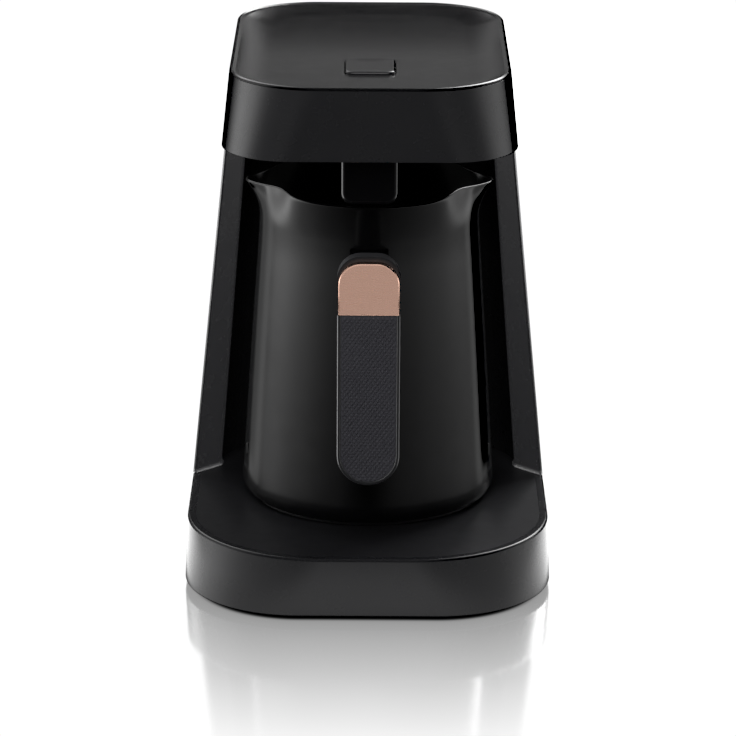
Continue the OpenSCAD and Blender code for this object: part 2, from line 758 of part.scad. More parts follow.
module socket_seal() color([0.05, 0.05, 0.05]) {
    lip = 3;
    proud = 1.2;
    difference() {
        translate([-socket_w / 2 - lip, bay_back - proud, socket_z0 - lip])
            cube([socket_w + 2 * lip, proud, socket_h + 2 * lip]);
        translate([-socket_w / 2, bay_back - proud - 1, socket_z0])
            cube([socket_w, proud + 2, socket_h]);
    }
}

// ---- wiring ----
module head_lead() color([0.75, 0.75, 0.72]) {
    y = power_back + 6;
    end = board_l / 2;
    for (i = [-2:2]) bar([[3 * i, power_back + 1.1, power_z + power_h - 4],
        [3 * i, power_back + 5, power_z + power_h + 4], [3 * i, y, head_z - 15],
        [2.6 * i, y, board_z + 3], [2.2 * i, end + 6, board_z + 7],
        [2 * i, end - 2, board_z + 3], [2 * i, end - 4, board_z + 2.8]],
        0.9, [1, 0, 0], 6);
}

module socket_lead() color([0.75, 0.3, 0.2]) {
    for (i = [-1:1]) bar([[pin_pitch * i, socket_back + 3.1, socket_mid + 0.4],
        [pin_pitch * i, socket_back + 4.4, socket_mid + 6],
        [pin_pitch * i - 2, socket_back + 2, socket_mid + 22],
        [pin_pitch * i - 2, power_back + 5, power_z - 4],
        [pin_pitch * i - 2, power_back + 1.1, power_z + 2]],
        1, [1, 0, 0], 6);
}

module mains_lead() color([0.5, 0.4, 0.25]) {
    y = bay_back + wall + 10;
    for (i = [-1:1]) let (x = clamp_x + (i + 1.5) * clamp_pitch)
        bar([[x, clamp_y + clamp_l / 2, cover_z + clamp_h / 2 + 0.2],
        [x, clamp_y + clamp_l / 2, cover_z + clamp_h + 2.5],
        [wire_x + 3.4 * i, y, tray_z - 1.5], [wire_x + 3.4 * i, y, base_h + 4],
        [wire_x - 4 + 3 * i, y + 3, base_h + 26], [14 + 2.6 * i, power_back + 8, power_z - 12],
        [14 + 2.6 * i, power_back + 4, power_z], [14 + 2.6 * i, power_back + 1.1, power_z + 3]],
        1, [1, 0, 0], 6);
}

// ---- jug ----
jug_z = base_h + jug_gap;              // underside of the jug
wall_z = base_h + jug_edge;            // lower edge of its metal wall
rim_z = pod_z - rim_gap;               // its rim, at the front
neck_z = rim_z - neck_h;
plate_z = base_h + jug_floor;          // heated floor
plate_t = 1;
spreader_t = 2.6;
spreader_z = plate_z - plate_t - touch - spreader_t;
jug_n = 72;
edge_in = 0.62;                        // share of the rounding by which the edge draws in

// Outer radius of the wall: a round foot, a cone and a soft neck
function cone_r(z) = jug_foot_r - (jug_foot_r - jug_neck_r) * pow((z - wall_z) / (neck_z - wall_z), 1.1);
function wall_r(z) = let (q = min(1, (z - wall_z) / jug_soft), up = max(0, z - neck_z) / (rim_z - neck_z))
    cone_r(min(z, neck_z)) - jug_soft * edge_in * (1 - sqrt(1 - (1 - q) * (1 - q)))
    + neck_flare * up * up;

// Share of a pouring lip and of the pinch beside it, by angle from the X axis
function off_x(a) = let (b = a % 180) min(b, 180 - b);
function lip_share(a) = exp(-pow(off_x(a) / 11, 2));
function pinch_share(a) = exp(-pow((off_x(a) - 31) / 15, 2));
pinch = 3;
function jug_point(z, a, inset) =
    let (up = max(0, z - neck_z) / (rim_z - neck_z),
        r = wall_r(z) - inset + up * up * (lip_out * lip_share(a) - pinch * pinch_share(a)))
    [r * cos(a), r * sin(a), z + up * up * lip_rise / 2 * pinch_share(a)];
function jug_ring(z, inset) = [for (i = [0:jug_n - 1]) jug_point(z, 360 * i / jug_n, inset)];

cone_z = [for (t = [0.25, 0.54, 0.82, 1]) wall_z + t * (neck_z - wall_z)];
neck_up = [for (t = [0.27, 0.53, 0.77, 0.92, 1]) neck_z + t * neck_h];
outer_rings = concat([for (t = [0, 0.2, 0.45, 0.7, 1]) wall_z + jug_soft * t], cone_z, neck_up);
inner_rings = concat([for (i = [4:-1:0]) neck_up[i]], [for (i = [3:-1:0]) cone_z[i]],
    [for (t = [1, 0.45, 0]) wall_z + jug_soft * t]);

// Small pressed beads low on the two sides
bead_z = base_h + 22;
bead_a = 14;
bead_r = 0.9;
module beads() {
    r = wall_r(bead_z) - 0.35;
    for (a = [-bead_a, 180 + bead_a]) translate([r * cos(a), r * sin(a), bead_z - 2]) {
        cylinder(r = bead_r, h = 4, $fn = 16);
        for (z = [0, 4]) translate([0, 0, z]) sphere(r = bead_r, $fn = 16);
    }
}

module jug_body() color([0.25, 0.25, 0.26]) {
    difference() {
        loop_loft(concat([for (z = outer_rings) jug_ring(z, 0)],
            [for (z = inner_rings) jug_ring(z, jug_wall)]));
        translate([-plug_w / 2 - 0.3, plug_in - 18, socket_mid - plug_h / 2 - 0.3])
            cube([plug_w + 0.6, 2 * plug_l, plug_h + 0.6]);
        for (z = handle_screw_z) translate([0, -30, z]) rotate([90, 0, 0])
            cylinder(r = 2.1, h = 40);
    }
    beads();
}

// Pressed disc with an upturned edge, brazed inside the wall
module jug_floor_plate() color([0.7, 0.7, 0.7]) {
    r = wall_r(plate_z) - jug_wall - 0.3;
    translate([0, 0, plate_z - plate_t]) rotate_extrude() polygon([[0, 0], [r - 1, 0],
        [r, 1], [r, 5], [r - plate_t, 5], [r - plate_t - 1, plate_t], [0, plate_t]]);
}

spreader_r = wall_r(plate_z) - jug_wall - 8.5;
post_r = spreader_r / 2;
post_at = [for (a = [30, 150, 270]) post_r * [cos(a), sin(a)]];
foot_floor = jug_z + 2.4;
module heat_spreader() color([0.8, 0.8, 0.82]) {
    difference() {
        union() {
            translate([0, 0, spreader_z]) cylinder(r = spreader_r, h = spreader_t);
            for (p = post_at) translate([p[0], p[1], foot_floor + touch])
                cylinder(r = 3.4, h = spreader_z - foot_floor);
        }
        for (p = post_at) translate([p[0], p[1], foot_floor - 1]) cylinder(r = pilot_r, h = 12);
    }
}

element_r = spreader_r - 10;
tube_r = 3;
element_z = spreader_z - touch - tube_r;
module heating_element() color([0.35, 0.33, 0.32]) {
    open_a = 32;
    rotate([0, 0, 90 + open_a]) translate([0, 0, element_z])
        rotate_extrude(angle = 360 - 2 * open_a) translate([element_r, 0]) circle(r = tube_r);
    for (s = [-1, 1]) rotate([0, 0, 90 + s * open_a]) translate([element_r, 0, element_z])
        rotate([s * 90, 0, 0]) {
            translate([0, 0, -1]) cylinder(r = 2, h = 4);
            cylinder(r = 0.9, h = 8);
        }
}

stat_r = 9;
tabs_z = spreader_z - touch - 12;       // lower ends of its tabs
module jug_thermostat() color([0.82, 0.8, 0.76]) {
    translate([0, 0, spreader_z - touch - 2]) cylinder(r = stat_r, h = 2);
    translate([0, 0, spreader_z - touch - 8]) cylinder(r = stat_r - 1.6, h = 6 + eps);
    for (x = [-4.2, 2.6]) translate([x, -0.4, tabs_z]) cube([1.6, 0.8, 4.2]);
}

fuse_at = [0, element_r - 10];
module thermal_fuse() color([0.8, 0.82, 0.85]) {
    translate([-7, fuse_at[1], spreader_z - touch - 2]) rotate([0, 90, 0]) {
        cylinder(r = 2, h = 14);
        translate([0, 0, -5]) cylinder(r = 0.6, h = 24);
    }
}

foot_r_out = jug_foot_r - jug_soft * edge_in - 0.8;
module jug_foot() color([0.06, 0.06, 0.065]) {
    inner = wall_r(wall_z) - jug_wall - 0.3;
    saddle_z = socket_mid - plug_h / 2 - touch;
    difference() {
        union() {
            rotate_extrude() polygon([[0, jug_z], [foot_r_out - 0.6, jug_z],
                [foot_r_out, jug_z + 0.6], [foot_r_out, wall_z - touch],
                [inner, wall_z - touch], [inner, wall_z + 4], [inner - 1.6, wall_z + 4],
                [inner - 1.6, foot_floor], [0, foot_floor]]);
            // saddle that carries the plug
            translate([2 - plug_w / 2, plug_in, foot_floor - eps])
                cube([plug_w - 4, 6, saddle_z - foot_floor + eps]);
        }
        for (p = post_at) translate([p[0], p[1], jug_z - 1]) {
            cylinder(r = screw_r + 0.3, h = 5);
            cylinder(r = screw_head_r + 0.2, h = 2.3);
        }
        translate([-plug_w / 2 - touch, plug_in - 8, socket_mid - plug_h / 2 - touch])
            cube([plug_w + 2 * touch, plug_l + 10, plug_h]);
    }
}

plug_in = plug_end - plug_l;            // inner end of the plug
module jug_plug() color([0.05, 0.05, 0.055]) {
    difference() {
        translate([-plug_w / 2, plug_in, socket_mid - plug_h / 2])
            cube([plug_w, plug_end - plug_in, plug_h]);
        for (i = [-1:1]) facing_back(i * pin_pitch, plug_in - 1, socket_mid)
            cylinder(r = pin_r + 0.02, h = plug_end);
        // relief round the pins at the mouth
        for (i = [-1:1]) facing_back(i * pin_pitch, plug_end - 1, socket_mid)
            cylinder(r = pin_r + 1.2, h = 2);
    }
}

module plug_contacts() color([0.85, 0.7, 0.35]) {
    for (i = [-1:1]) facing_back(i * pin_pitch, plug_in - 4, socket_mid) {
        cylinder(r = pin_r, h = plug_end + pin_l - plug_in + 4 - 1);
        translate([0, 0, plug_end + pin_l - plug_in + 3 - eps])
            cylinder(r1 = pin_r, r2 = pin_r - 0.8, h = 1);
    }
}

module jug_leads() color([0.8, 0.75, 0.6]) {
    y = plug_in - 5.1;
    for (s = [-1, 1]) bar([[s * pin_pitch, y, socket_mid], [s * (pin_pitch + 1), y - 3, socket_mid],
        [s * 11, plug_in - 13, jug_z + 9.7], [s * 10, plug_in - 20, jug_z + 7.7],
        [s * 6, 8, tabs_z - 1.7], [s * 3.4, 1, tabs_z - 1.6]], 1, [0, 0, 1], 6);
    bar([[0, y, socket_mid], [0, y - 2, jug_z + 9.7], [0, plug_in - 22, jug_z + 5.3],
        [0, plug_in - 26, jug_z + 4.7]], 1, [1, 0, 0], 6);
}

module foot_screws() color([0.75, 0.75, 0.76]) {
    for (p = post_at) translate([p[0], p[1], jug_z + 1.3])
        screw(screw_head_r, 1.1, screw_r, 9);
}

// ---- handle ----
handle_z0 = base_h + handle_low;
handle_z1 = rim_z - handle_drop;
handle_screw_z = [handle_z1 - 31, handle_z1 - 15];
handle_y = -handle_front;
handle_back = handle_y + handle_t;
arm_hw = 9;
arm_z0 = handle_z1 - 40;
arm_z1 = handle_z1 - 6;
bracket_y = -jug_neck_r - 8;
inlay_y = handle_y + inlay_t;           // floor of the two pockets
split_z = handle_z1 - handle_cap_h;     // joint between cap and grip

// Face of the handle: half-round lower end, well rounded upper end
function handle_face(inset) = let (hw = handle_w / 2 - inset, r = handle_top_r - inset) concat(
    arc_pts([0, handle_z0 + handle_w / 2], hw, 180, 360, 20),
    arc_pts([hw - r, handle_z1 - inset - r], r, 0, 90, 8),
    arc_pts([r - hw, handle_z1 - inset - r], r, 90, 180, 8));
module face_slab(inset, y0, y1) {
    translate([0, y1, 0]) rotate([90, 0, 0]) linear_extrude(y1 - y0) polygon(handle_face(inset));
}

// Arched section of the arm behind the handle
function arm_ring(y, hw, z0, z1, r) = at_y(concat([[-hw, z0], [hw, z0]],
    arc_pts([hw - r, z1 - r], r, 0, 90, 6), arc_pts([r - hw, z1 - r], r, 90, 180, 6)), y);

module handle_frame() color([0.13, 0.13, 0.14]) {
    soft = 2.4;
    r = handle_top_r - cap_edge - 2;
    reach = handle_back - bracket_y;
    difference() {
        union() {
            loft([at_y(handle_face(soft), handle_back), at_y(handle_face(0.7), handle_back - soft * 0.7),
                at_y(handle_face(0), handle_back - soft * 1.4), at_y(handle_face(0), handle_y + 0.7),
                at_y(handle_face(0.7), handle_y)]);
            loft([arm_ring(bracket_y - touch, arm_hw, arm_z0, arm_z1, r),
                arm_ring(bracket_y + 0.36 * reach, arm_hw, arm_z0 - 0.5, arm_z1 + 1.5, r),
                arm_ring(bracket_y + 0.7 * reach, arm_hw, arm_z0 - 2.5, handle_z1 - 3.8, r),
                arm_ring(bracket_y + 0.9 * reach, arm_hw + 0.6, arm_z0 - 7, handle_z1 - 2.6, r),
                arm_ring(handle_back - 3, arm_hw + 1, arm_z0 - 15, handle_z1 - 2.4, r)]);
        }
        face_slab(grip_rim, handle_y - 1, inlay_y);
        // seat of the metal cap, over the full width
        translate([-handle_w, handle_y - 1, split_z]) cube([2 * handle_w, inlay_t + 1, handle_cap_h + 1]);
        for (z = handle_screw_z) translate([0, inlay_y - 1, z]) rotate([-90, 0, 0]) {
            cylinder(r = screw_r + 0.3, h = 40);
            cylinder(r = screw_head_r + 0.2, h = 3.4);
            translate([0, 0, 1 + bracket_y - inlay_y - 8]) cylinder(r = boss_r + touch, h = 20);
        }
    }
}

cap_edge = 0.5;                         // how far the cap's outline lies inside the handle's
module handle_cap() color([0.78, 0.5, 0.4]) {
    bevel = 0.5;
    intersection() {
        loft([at_y(handle_face(cap_edge), inlay_y - touch),
            at_y(handle_face(cap_edge), handle_y - 0.4 + bevel),
            at_y(handle_face(cap_edge + bevel), handle_y - 0.4)]);
        translate([-handle_w, -base_d, split_z + touch]) cube([2 * handle_w, base_d, handle_cap_h]);
    }
}

// Rubber pad with a field of small pyramids, narrowed to the round lower end
grip_hw = handle_w / 2 - grip_rim - touch;
grip_z0 = handle_z0 + grip_rim + touch + 0.4;
grip_z1 = split_z - touch;
grip_cols = 2 * round(grip_hw / stud_pitch);
grip_rows = 2 * round((grip_z1 - grip_z0) / stud_pitch / 1.7);
stud_h = 0.6;
function grip_row_z(i) = grip_z0 + (grip_z1 - grip_z0) * i / grip_rows;
function grip_row_hw(z) = let (down = max(0, handle_z0 + handle_w / 2 - z))
    sqrt(max(0.01, grip_hw * grip_hw - down * down));
function stud(i, j) = i == 0 || i == grip_rows || j == 0 || j == grip_cols ? 0.1
    : (i + j) % 2 == 0 ? stud_h : 0;
function grip_front(i, j) = let (z = grip_row_z(i))
    [grip_row_hw(z) * (2 * j / grip_cols - 1), handle_y + stud_h - stud(i, j), z];

module handle_grip() color([0.2, 0.2, 0.21]) {
    m = grip_rows;
    w = grip_cols + 1;
    front = [for (i = [0:m], j = [0:grip_cols]) grip_front(i, j)];
    back = [for (i = [0:m], s = [-1, 1]) let (z = grip_row_z(i))
        [s * grip_row_hw(z), inlay_y - touch, z]];
    nf = len(front);
    polyhedron(points = concat(front, back), faces = concat(
        [for (i = [0:m - 1], j = [0:w - 2]) let (k = i * w + j) each
            ((i + j) % 2 == 0 ? [[k, k + w + 1, k + 1], [k, k + w, k + w + 1]]
                : [[k, k + w, k + 1], [k + 1, k + w, k + w + 1]])],
        [for (i = [0:m - 1]) let (k = nf + 2 * i) each [[k, k + 1, k + 3], [k, k + 3, k + 2]]],
        [for (i = [0:m - 1]) let (k = nf + 2 * i, f = i * w) each
            [[k, k + 2, f + w], [k, f + w, f]]],
        [for (i = [0:m - 1]) let (k = nf + 2 * i + 1, f = i * w + w - 1) each
            [[k, f, f + w], [k, f + w, k + 2]]],
        [for (j = [0:w - 2]) [j, j + 1, nf + 1]], [[0, nf + 1, nf]],
        [for (j = [0:w - 2]) [m * w + j + 1, m * w + j, nf + 2 * m]],
        [[m * w + w - 1, nf + 2 * m, nf + 2 * m + 1]]));
}

// Plate brazed to the jug, with two threaded bosses for the handle's screws
module handle_bracket() color([0.6, 0.6, 0.62]) {
    difference() {
        union() {
            translate([-arm_hw + 1, bracket_y, arm_z0 + 1])
                cube([2 * arm_hw - 2, 12, arm_z1 - arm_z0 - 2]);
            for (z = handle_screw_z) translate([0, bracket_y + 1, z]) rotate([90, 0, 0])
                cylinder(r = boss_r, h = 8);
        }
        loft([for (z = [arm_z0 - 5, arm_z1 + 5]) jug_ring(z, -0.3)]);
        for (z = handle_screw_z) translate([0, -40, z]) rotate([90, 0, 0])
            cylinder(r = pilot_r, h = 40);
    }
}

module handle_screws() color([0.75, 0.75, 0.76]) {
    for (z = handle_screw_z) translate([0, inlay_y + 2.4, z]) rotate([-90, 0, 0])
        screw(screw_head_r, 2, screw_r, 18);
}

base_shell();
tray();
base_cover();
feet();
base_screws();
cord_gland();
terminal_block();
column_shell();
column_liner();
column_screws();
head_shell();
head_top();
head_floor();
head_screws();
sensor_pod();
sensor_window();
sensor_board();
sensor_eyes();
button();
switch_plunger();
button_spring();
start_switch();
control_board();
microcontroller();
buzzer();
status_led();
board_screws();
power_board();
transformer();
relay();
filter_capacitor();
power_screws();
socket_housing();
socket_contacts();
socket_seal();
head_lead();
socket_lead();
mains_lead();
jug_body();
jug_floor_plate();
heat_spreader();
heating_element();
jug_thermostat();
thermal_fuse();
jug_foot();
jug_plug();
plug_contacts();
jug_leads();
foot_screws();
handle_frame();
handle_cap();
handle_grip();
handle_bracket();
handle_screws();
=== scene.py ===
import math

import bmesh
import bpy
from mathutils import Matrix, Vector


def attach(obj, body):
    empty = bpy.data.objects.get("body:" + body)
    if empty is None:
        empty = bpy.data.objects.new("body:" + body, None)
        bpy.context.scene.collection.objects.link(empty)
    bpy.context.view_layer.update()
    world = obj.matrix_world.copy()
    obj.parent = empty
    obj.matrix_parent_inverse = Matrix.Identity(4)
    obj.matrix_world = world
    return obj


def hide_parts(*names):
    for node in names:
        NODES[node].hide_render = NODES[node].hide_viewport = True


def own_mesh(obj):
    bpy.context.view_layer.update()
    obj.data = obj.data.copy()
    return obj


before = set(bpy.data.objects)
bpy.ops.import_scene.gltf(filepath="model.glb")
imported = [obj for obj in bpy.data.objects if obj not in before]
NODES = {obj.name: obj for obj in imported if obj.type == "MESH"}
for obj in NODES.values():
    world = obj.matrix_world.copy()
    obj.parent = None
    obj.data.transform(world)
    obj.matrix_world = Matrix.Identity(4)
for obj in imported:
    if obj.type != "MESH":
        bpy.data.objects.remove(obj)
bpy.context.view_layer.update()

MM = 0.001

# ---------------------------------------------------------------- sizes, in mm, as in the CAD
BASE_W, BASE_D, BASE_H, BASE_FLARE = 155.4, 182.0, 28.0, 0.6
FRONT_R, TRAY_R, BACK_R = 49.0, 59.0, 35.0
FOOT_H, WALL, TOUCH = 3.0, 2.5, 0.1
FOOT_EDGE, RIM_EDGE, TRAY_GAP = 0.6, 1.1, 0.02
BAY_FOOT, BAY_RIM, BAY_FRONT, NOSE_R, NOSE_SOFT = 65.2, 54.2, 29.0, 2.6, 4.5
BACK_LEAN = 2.4
TOTAL_H, HEAD_W, BAND_H, HEAD_FRONT, FRONT_LEAN = 225.0, 115.2, 30.0, 82.0, 2.2
HEAD_LOW_R, HEAD_TOP_R, DISH = 29.0, 38.0, 5.0
LIP_R, DISH_EDGE, DISH_SLOPE, DISH_STEPS, SIDE = 1.2, 1.3, 17.0, 24, 14
SWEEP, SWEEP_FROM, SWEEP_TOP = 0.0005, 2.0, 0.4
BUTTON_W, BUTTON_L, BUTTON_Y, BUTTON_PROUD, BUTTON_R, BUTTON_GAP = 21.0, 26.0, 21.0, 1.2, 4.0, 0.2
BUTTON_TRAVEL, BUTTON_SOFT = 1.0, 0.9
NOSE_W, NOSE_DROP, NOSE_FRONT, NOSE_L, NOSE_CORNER, NOSE_EDGE = 23.6, 23.0, 62.0, 48.0, 5.0, 1.9
JUG_FOOT_R, JUG_NECK_R, JUG_WALL, LIP_OUT, LIP_RISE = 54.5, 46.5, 1.2, 5.6, 3.0
RIM_GAP, PINCH, JUG_SOFT, EDGE_IN, NECK_FLARE = 5.5, 3.0, 5.0, 0.62, 0.6
LIP_SPREAD, NIP_AT, NIP_SPREAD = 11, 31, 15
PIN_AT, PIN_UP, PIN_R, PIN_L = -14, 22, 0.9, 4
HANDLE_W, HANDLE_LOW, HANDLE_DROP, CAP_HANDLE, HANDLE_R = 25.8, 31.0, 10.5, 24.0, 9.6
HANDLE_FRONT, HANDLE_T, GRIP_RIM, INLAY, CAP_EDGE, CAP_TOP = 86.0, 12.0, 1.4, 3.0, 0.5, 2.0

HEAD_Z = TOTAL_H - BAND_H
DISH_Z = TOTAL_H - DISH
BASE_TOP_HW = BASE_W / 2 - BASE_FLARE
TRAY_Z = BASE_H - WALL
RIM_W = WALL + 1
SPLIT = BAY_FRONT + NOSE_R + 3
WALL_Z = BASE_H + 2.2
RIM_Z = HEAD_Z - NOSE_DROP - RIM_GAP
NECK_Z = RIM_Z - 15


# ---------------------------------------------------------------- plan outlines
def arc(cx, cy, r, a0, a1, n):
    return [(cx + r * math.cos(math.radians(a0 + (a1 - a0) * i / n)),
             cy + r * math.sin(math.radians(a0 + (a1 - a0) * i / n))) for i in range(n + 1)]


def outline(hw, yf, yb, rf, rb, n=24, straight=1):
    corners = [arc(hw - rf, yf + rf, rf, -90, 0, n), arc(hw - rb, yb - rb, rb, 0, 90, n),
               arc(rb - hw, yb - rb, rb, 90, 180, n), arc(rf - hw, yf + rf, rf, 180, 270, n)]
    out = []
    for here, after in zip(corners, corners[1:] + corners[:1]):
        (x0, y0), (x1, y1) = here[-1], after[0]
        out += here + [(x0 + (x1 - x0) * k / straight, y0 + (y1 - y0) * k / straight) for k in range(1, straight)]
    return out


def at_z(points, z):
    return [(x, y, z) for x, y in points]


def at_y(points, y):
    return [(x, y, z) for x, z in points]


def share(z):
    return (z - BASE_H) / (TOTAL_H - BASE_H)


def body_hw(z):
    return BASE_TOP_HW + (HEAD_W / 2 - BASE_TOP_HW) * share(z)


def body_back(z):
    return BASE_D / 2 - BASE_FLARE - BACK_LEAN * share(z)


def base_ring(z, inset=0.0):
    up = (z - FOOT_H) / (BASE_H - FOOT_H)
    off = BASE_FLARE * up + inset
    return at_z(outline(BASE_W / 2 - off, off - BASE_D / 2, BASE_D / 2 - off,
                        FRONT_R + (TRAY_R - FRONT_R) * up - inset, BACK_R - inset), z)


def head_ring(z, inset=0.0, straight=1):
    up = (z - HEAD_Z) / BAND_H
    return at_z(outline(body_hw(z) - inset, FRONT_LEAN * up - HEAD_FRONT + inset, body_back(z) - inset,
                        HEAD_LOW_R + (HEAD_TOP_R - HEAD_LOW_R) * up - inset, BACK_R - inset, 24, straight), z)


def bay_hw(z):
    return BAY_FOOT + (BAY_RIM - BAY_FOOT) * (z - BASE_H) / (RIM_Z - BASE_H)


def rounded(points, radii, n=4):
    """A polyline with its corners rounded: one radius a point, 0 for a sharp one."""
    out = []
    for i, (p, r) in enumerate(zip(points, radii)):
        p = Vector(p)
        if r <= 0 or i in (0, len(points) - 1):
            out.append(tuple(p))
            continue
        a, b = Vector(points[i - 1]) - p, Vector(points[i + 1]) - p
        la, lb = a.length, b.length
        a, b = a / la, b / lb
        half = math.acos(max(-1, min(1, a.dot(b)))) / 2
        if half > math.pi / 2 - 0.01:
            out.append(tuple(p))
            continue
        t = min(r / math.tan(half), la * 0.49, lb * 0.49)
        r = t * math.tan(half)
        c = p + (a + b).normalized() * (r / math.sin(half))
        s, e = p + a * t - c, p + b * t - c
        for k in range(n + 1):
            u = k / n
            w = s.lerp(e, u)
            w = w.normalized() * r if w.length > 1e-9 else s
            out.append(tuple(c + w))
    return out


# ---------------------------------------------------------------- mesh making
def make(name, verts, faces, body, material, replaces=(), smooth=40, weighted=True, bevel=0.0):
    mesh = bpy.data.meshes.new(name)
    mesh.from_pydata([tuple(c * MM for c in v) for v in verts], [], faces)
    bm = bmesh.new()
    bm.from_mesh(mesh)
    bmesh.ops.remove_doubles(bm, verts=bm.verts, dist=1e-6)
    bmesh.ops.recalc_face_normals(bm, faces=bm.faces)
    bm.to_mesh(mesh)
    bm.free()
    return place(name, mesh, body, material, replaces, smooth, weighted, bevel)


def place(name, mesh, body, material, replaces=(), smooth=40, weighted=True, bevel=0.0):
    for poly in mesh.polygons:
        poly.use_smooth = True
    if smooth:
        mesh.set_sharp_from_angle(angle=math.radians(smooth))
    obj = bpy.data.objects.new(name, mesh)
    bpy.context.scene.collection.objects.link(obj)
    mesh.materials.clear()
    mesh.materials.append(material)
    if bevel:
        b = obj.modifiers.new("edge", "BEVEL")
        b.width = bevel * MM
        b.segments = 2
        b.limit_method = "ANGLE"
        b.angle_limit = math.radians(35)
        b.harden_normals = True
    if weighted:
        w = obj.modifiers.new("normals", "WEIGHTED_NORMAL")
        w.keep_sharp = True
        w.weight = 50
    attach(obj, body)
    if replaces:
        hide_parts(*replaces)
    return obj


def skin(rings, cap0=True, cap1=True, loop=False):
    """Vertices and faces through rings of equally many points."""
    n = len(rings[0])
    verts = [p for r in rings for p in r]
    faces = []
    for k in range(len(rings) if loop else len(rings) - 1):
        a, b = k * n, (k + 1) % len(rings) * n
        for i in range(n):
            j = (i + 1) % n
            faces.append((a + i, a + j, b + j, b + i))
    if cap0:
        faces.append(tuple(range(n)))
    if cap1:
        faces.append(tuple((len(rings) - 1) * n + i for i in range(n)))
    return verts, faces


def revolve(profile, seg=160):
    rings = [[(r * math.cos(2 * math.pi * i / seg), r * math.sin(2 * math.pi * i / seg), z)
              for i in range(seg)] for r, z in profile]
    return skin(rings, cap0=profile[0][0] > 0, cap1=profile[-1][0] > 0)


# ---------------------------------------------------------------- materials
def nodes_of(name):
    m = bpy.data.materials.new(name)
    m.use_nodes = True
    tree = m.node_tree
    bsdf = tree.nodes["Principled BSDF"]
    coord = tree.nodes.new("ShaderNodeTexCoord")
    return m, tree, bsdf, coord


def noise(tree, vector, scale, detail=3.0, rough=0.55):
    n = tree.nodes.new("ShaderNodeTexNoise")
    n.inputs["Scale"].default_value = scale
    n.inputs["Detail"].default_value = detail
    n.inputs["Roughness"].default_value = rough
    tree.links.new(vector, n.inputs["Vector"])
    return n.outputs["Fac"]


def spread(tree, fac, lo, hi, a=0.3, b=0.7):
    r = tree.nodes.new("ShaderNodeMapRange")
    r.inputs["From Min"].default_value = a
    r.inputs["From Max"].default_value = b
    r.inputs["To Min"].default_value = lo
    r.inputs["To Max"].default_value = hi
    tree.links.new(fac, r.inputs["Value"])
    return r.outputs["Result"]


def mixed(tree, fac, c0, c1):
    m = tree.nodes.new("ShaderNodeMix")
    m.data_type = "RGBA"
    if isinstance(c0, tuple):
        m.inputs["A"].default_value = (*c0, 1)
    else:
        tree.links.new(c0, m.inputs["A"])
    m.inputs["B"].default_value = (*c1, 1)
    tree.links.new(fac, m.inputs["Factor"])
    return m.outputs["Result"]


def bump(tree, height, strength, distance, under=None):
    b = tree.nodes.new("ShaderNodeBump")
    b.inputs["Strength"].default_value = strength
    b.inputs["Distance"].default_value = distance
    tree.links.new(height, b.inputs["Height"])
    if under is not None:
        tree.links.new(under, b.inputs["Normal"])
    return b.outputs["Normal"]


def stretched(tree, coord, scale):
    m = tree.nodes.new("ShaderNodeMapping")
    m.inputs["Scale"].default_value = scale
    tree.links.new(coord.outputs["Object"], m.inputs["Vector"])
    return m.outputs["Vector"]


def surface(name, c0, c1, rough, metal=0.0, ior=1.5, coat=0.0, coat_rough=0.04, grain=0.0, grain_scale=2500.0,
            wave=0.0, wave_scale=18.0, cloud=60.0, stretch=(1, 1, 1), grain_size=0.00003, level=0.5, flat=None):
    """Two close tones over the surface, a roughness that varies a little, a fine grain and a slow waviness."""
    m, tree, bsdf, coord = nodes_of(name)
    vec = stretched(tree, coord, stretch)
    slow = noise(tree, vec, cloud)
    tone = mixed(tree, slow, c0, c1)
    # faces that look up take a darker tone and a weaker reflection: painted shade on the flats
    if flat:
        up = tree.nodes.new("ShaderNodeSeparateXYZ")
        tree.links.new(tree.nodes.new("ShaderNodeNewGeometry").outputs["Normal"], up.inputs["Vector"])
        painted_flat_shade = spread(tree, up.outputs["Z"], 0, 1, 0.95, 0.99)
        tone = mixed(tree, painted_flat_shade, tone, flat[0])
        tree.links.new(spread(tree, up.outputs["Z"], level, flat[1], 0.95, 0.99), bsdf.inputs["Specular IOR Level"])
    tree.links.new(tone, bsdf.inputs["Base Color"])
    tree.links.new(spread(tree, noise(tree, vec, cloud * 2.3), rough[0], rough[1]), bsdf.inputs["Roughness"])
    bsdf.inputs["Metallic"].default_value = metal
    bsdf.inputs["IOR"].default_value = ior
    if not flat:
        bsdf.inputs["Specular IOR Level"].default_value = level
    if coat:
        bsdf.inputs["Coat Weight"].default_value = coat
        bsdf.inputs["Coat Roughness"].default_value = coat_rough
    normal = None
    if wave:
        normal = bump(tree, noise(tree, vec, wave_scale, 1.0), wave, 0.0006)
    if grain:
        normal = bump(tree, noise(tree, vec, grain_scale, 2.0), grain, grain_size, normal)
    if normal is not None:
        tree.links.new(normal, bsdf.inputs["Normal"])
    return m


SHELL = surface("shell_black", (0.018, 0.018, 0.0195), (0.0215, 0.0215, 0.023), (0.26, 0.28), grain=0.015,
                grain_scale=1800)
# the base: its faces that look up are painted darker and less glossy, painted shade
BASE = surface("base_black", (0.018, 0.018, 0.0195), (0.0215, 0.0215, 0.023), (0.26, 0.28), grain=0.015,
               grain_scale=1800, level=0.28, flat=((0.012, 0.012, 0.0135), 0.08))
FRAME = surface("frame_black", (0.010, 0.010, 0.011), (0.013, 0.013, 0.014), (0.28, 0.34), grain=0.15,
                grain_scale=3200, wave=0.01)
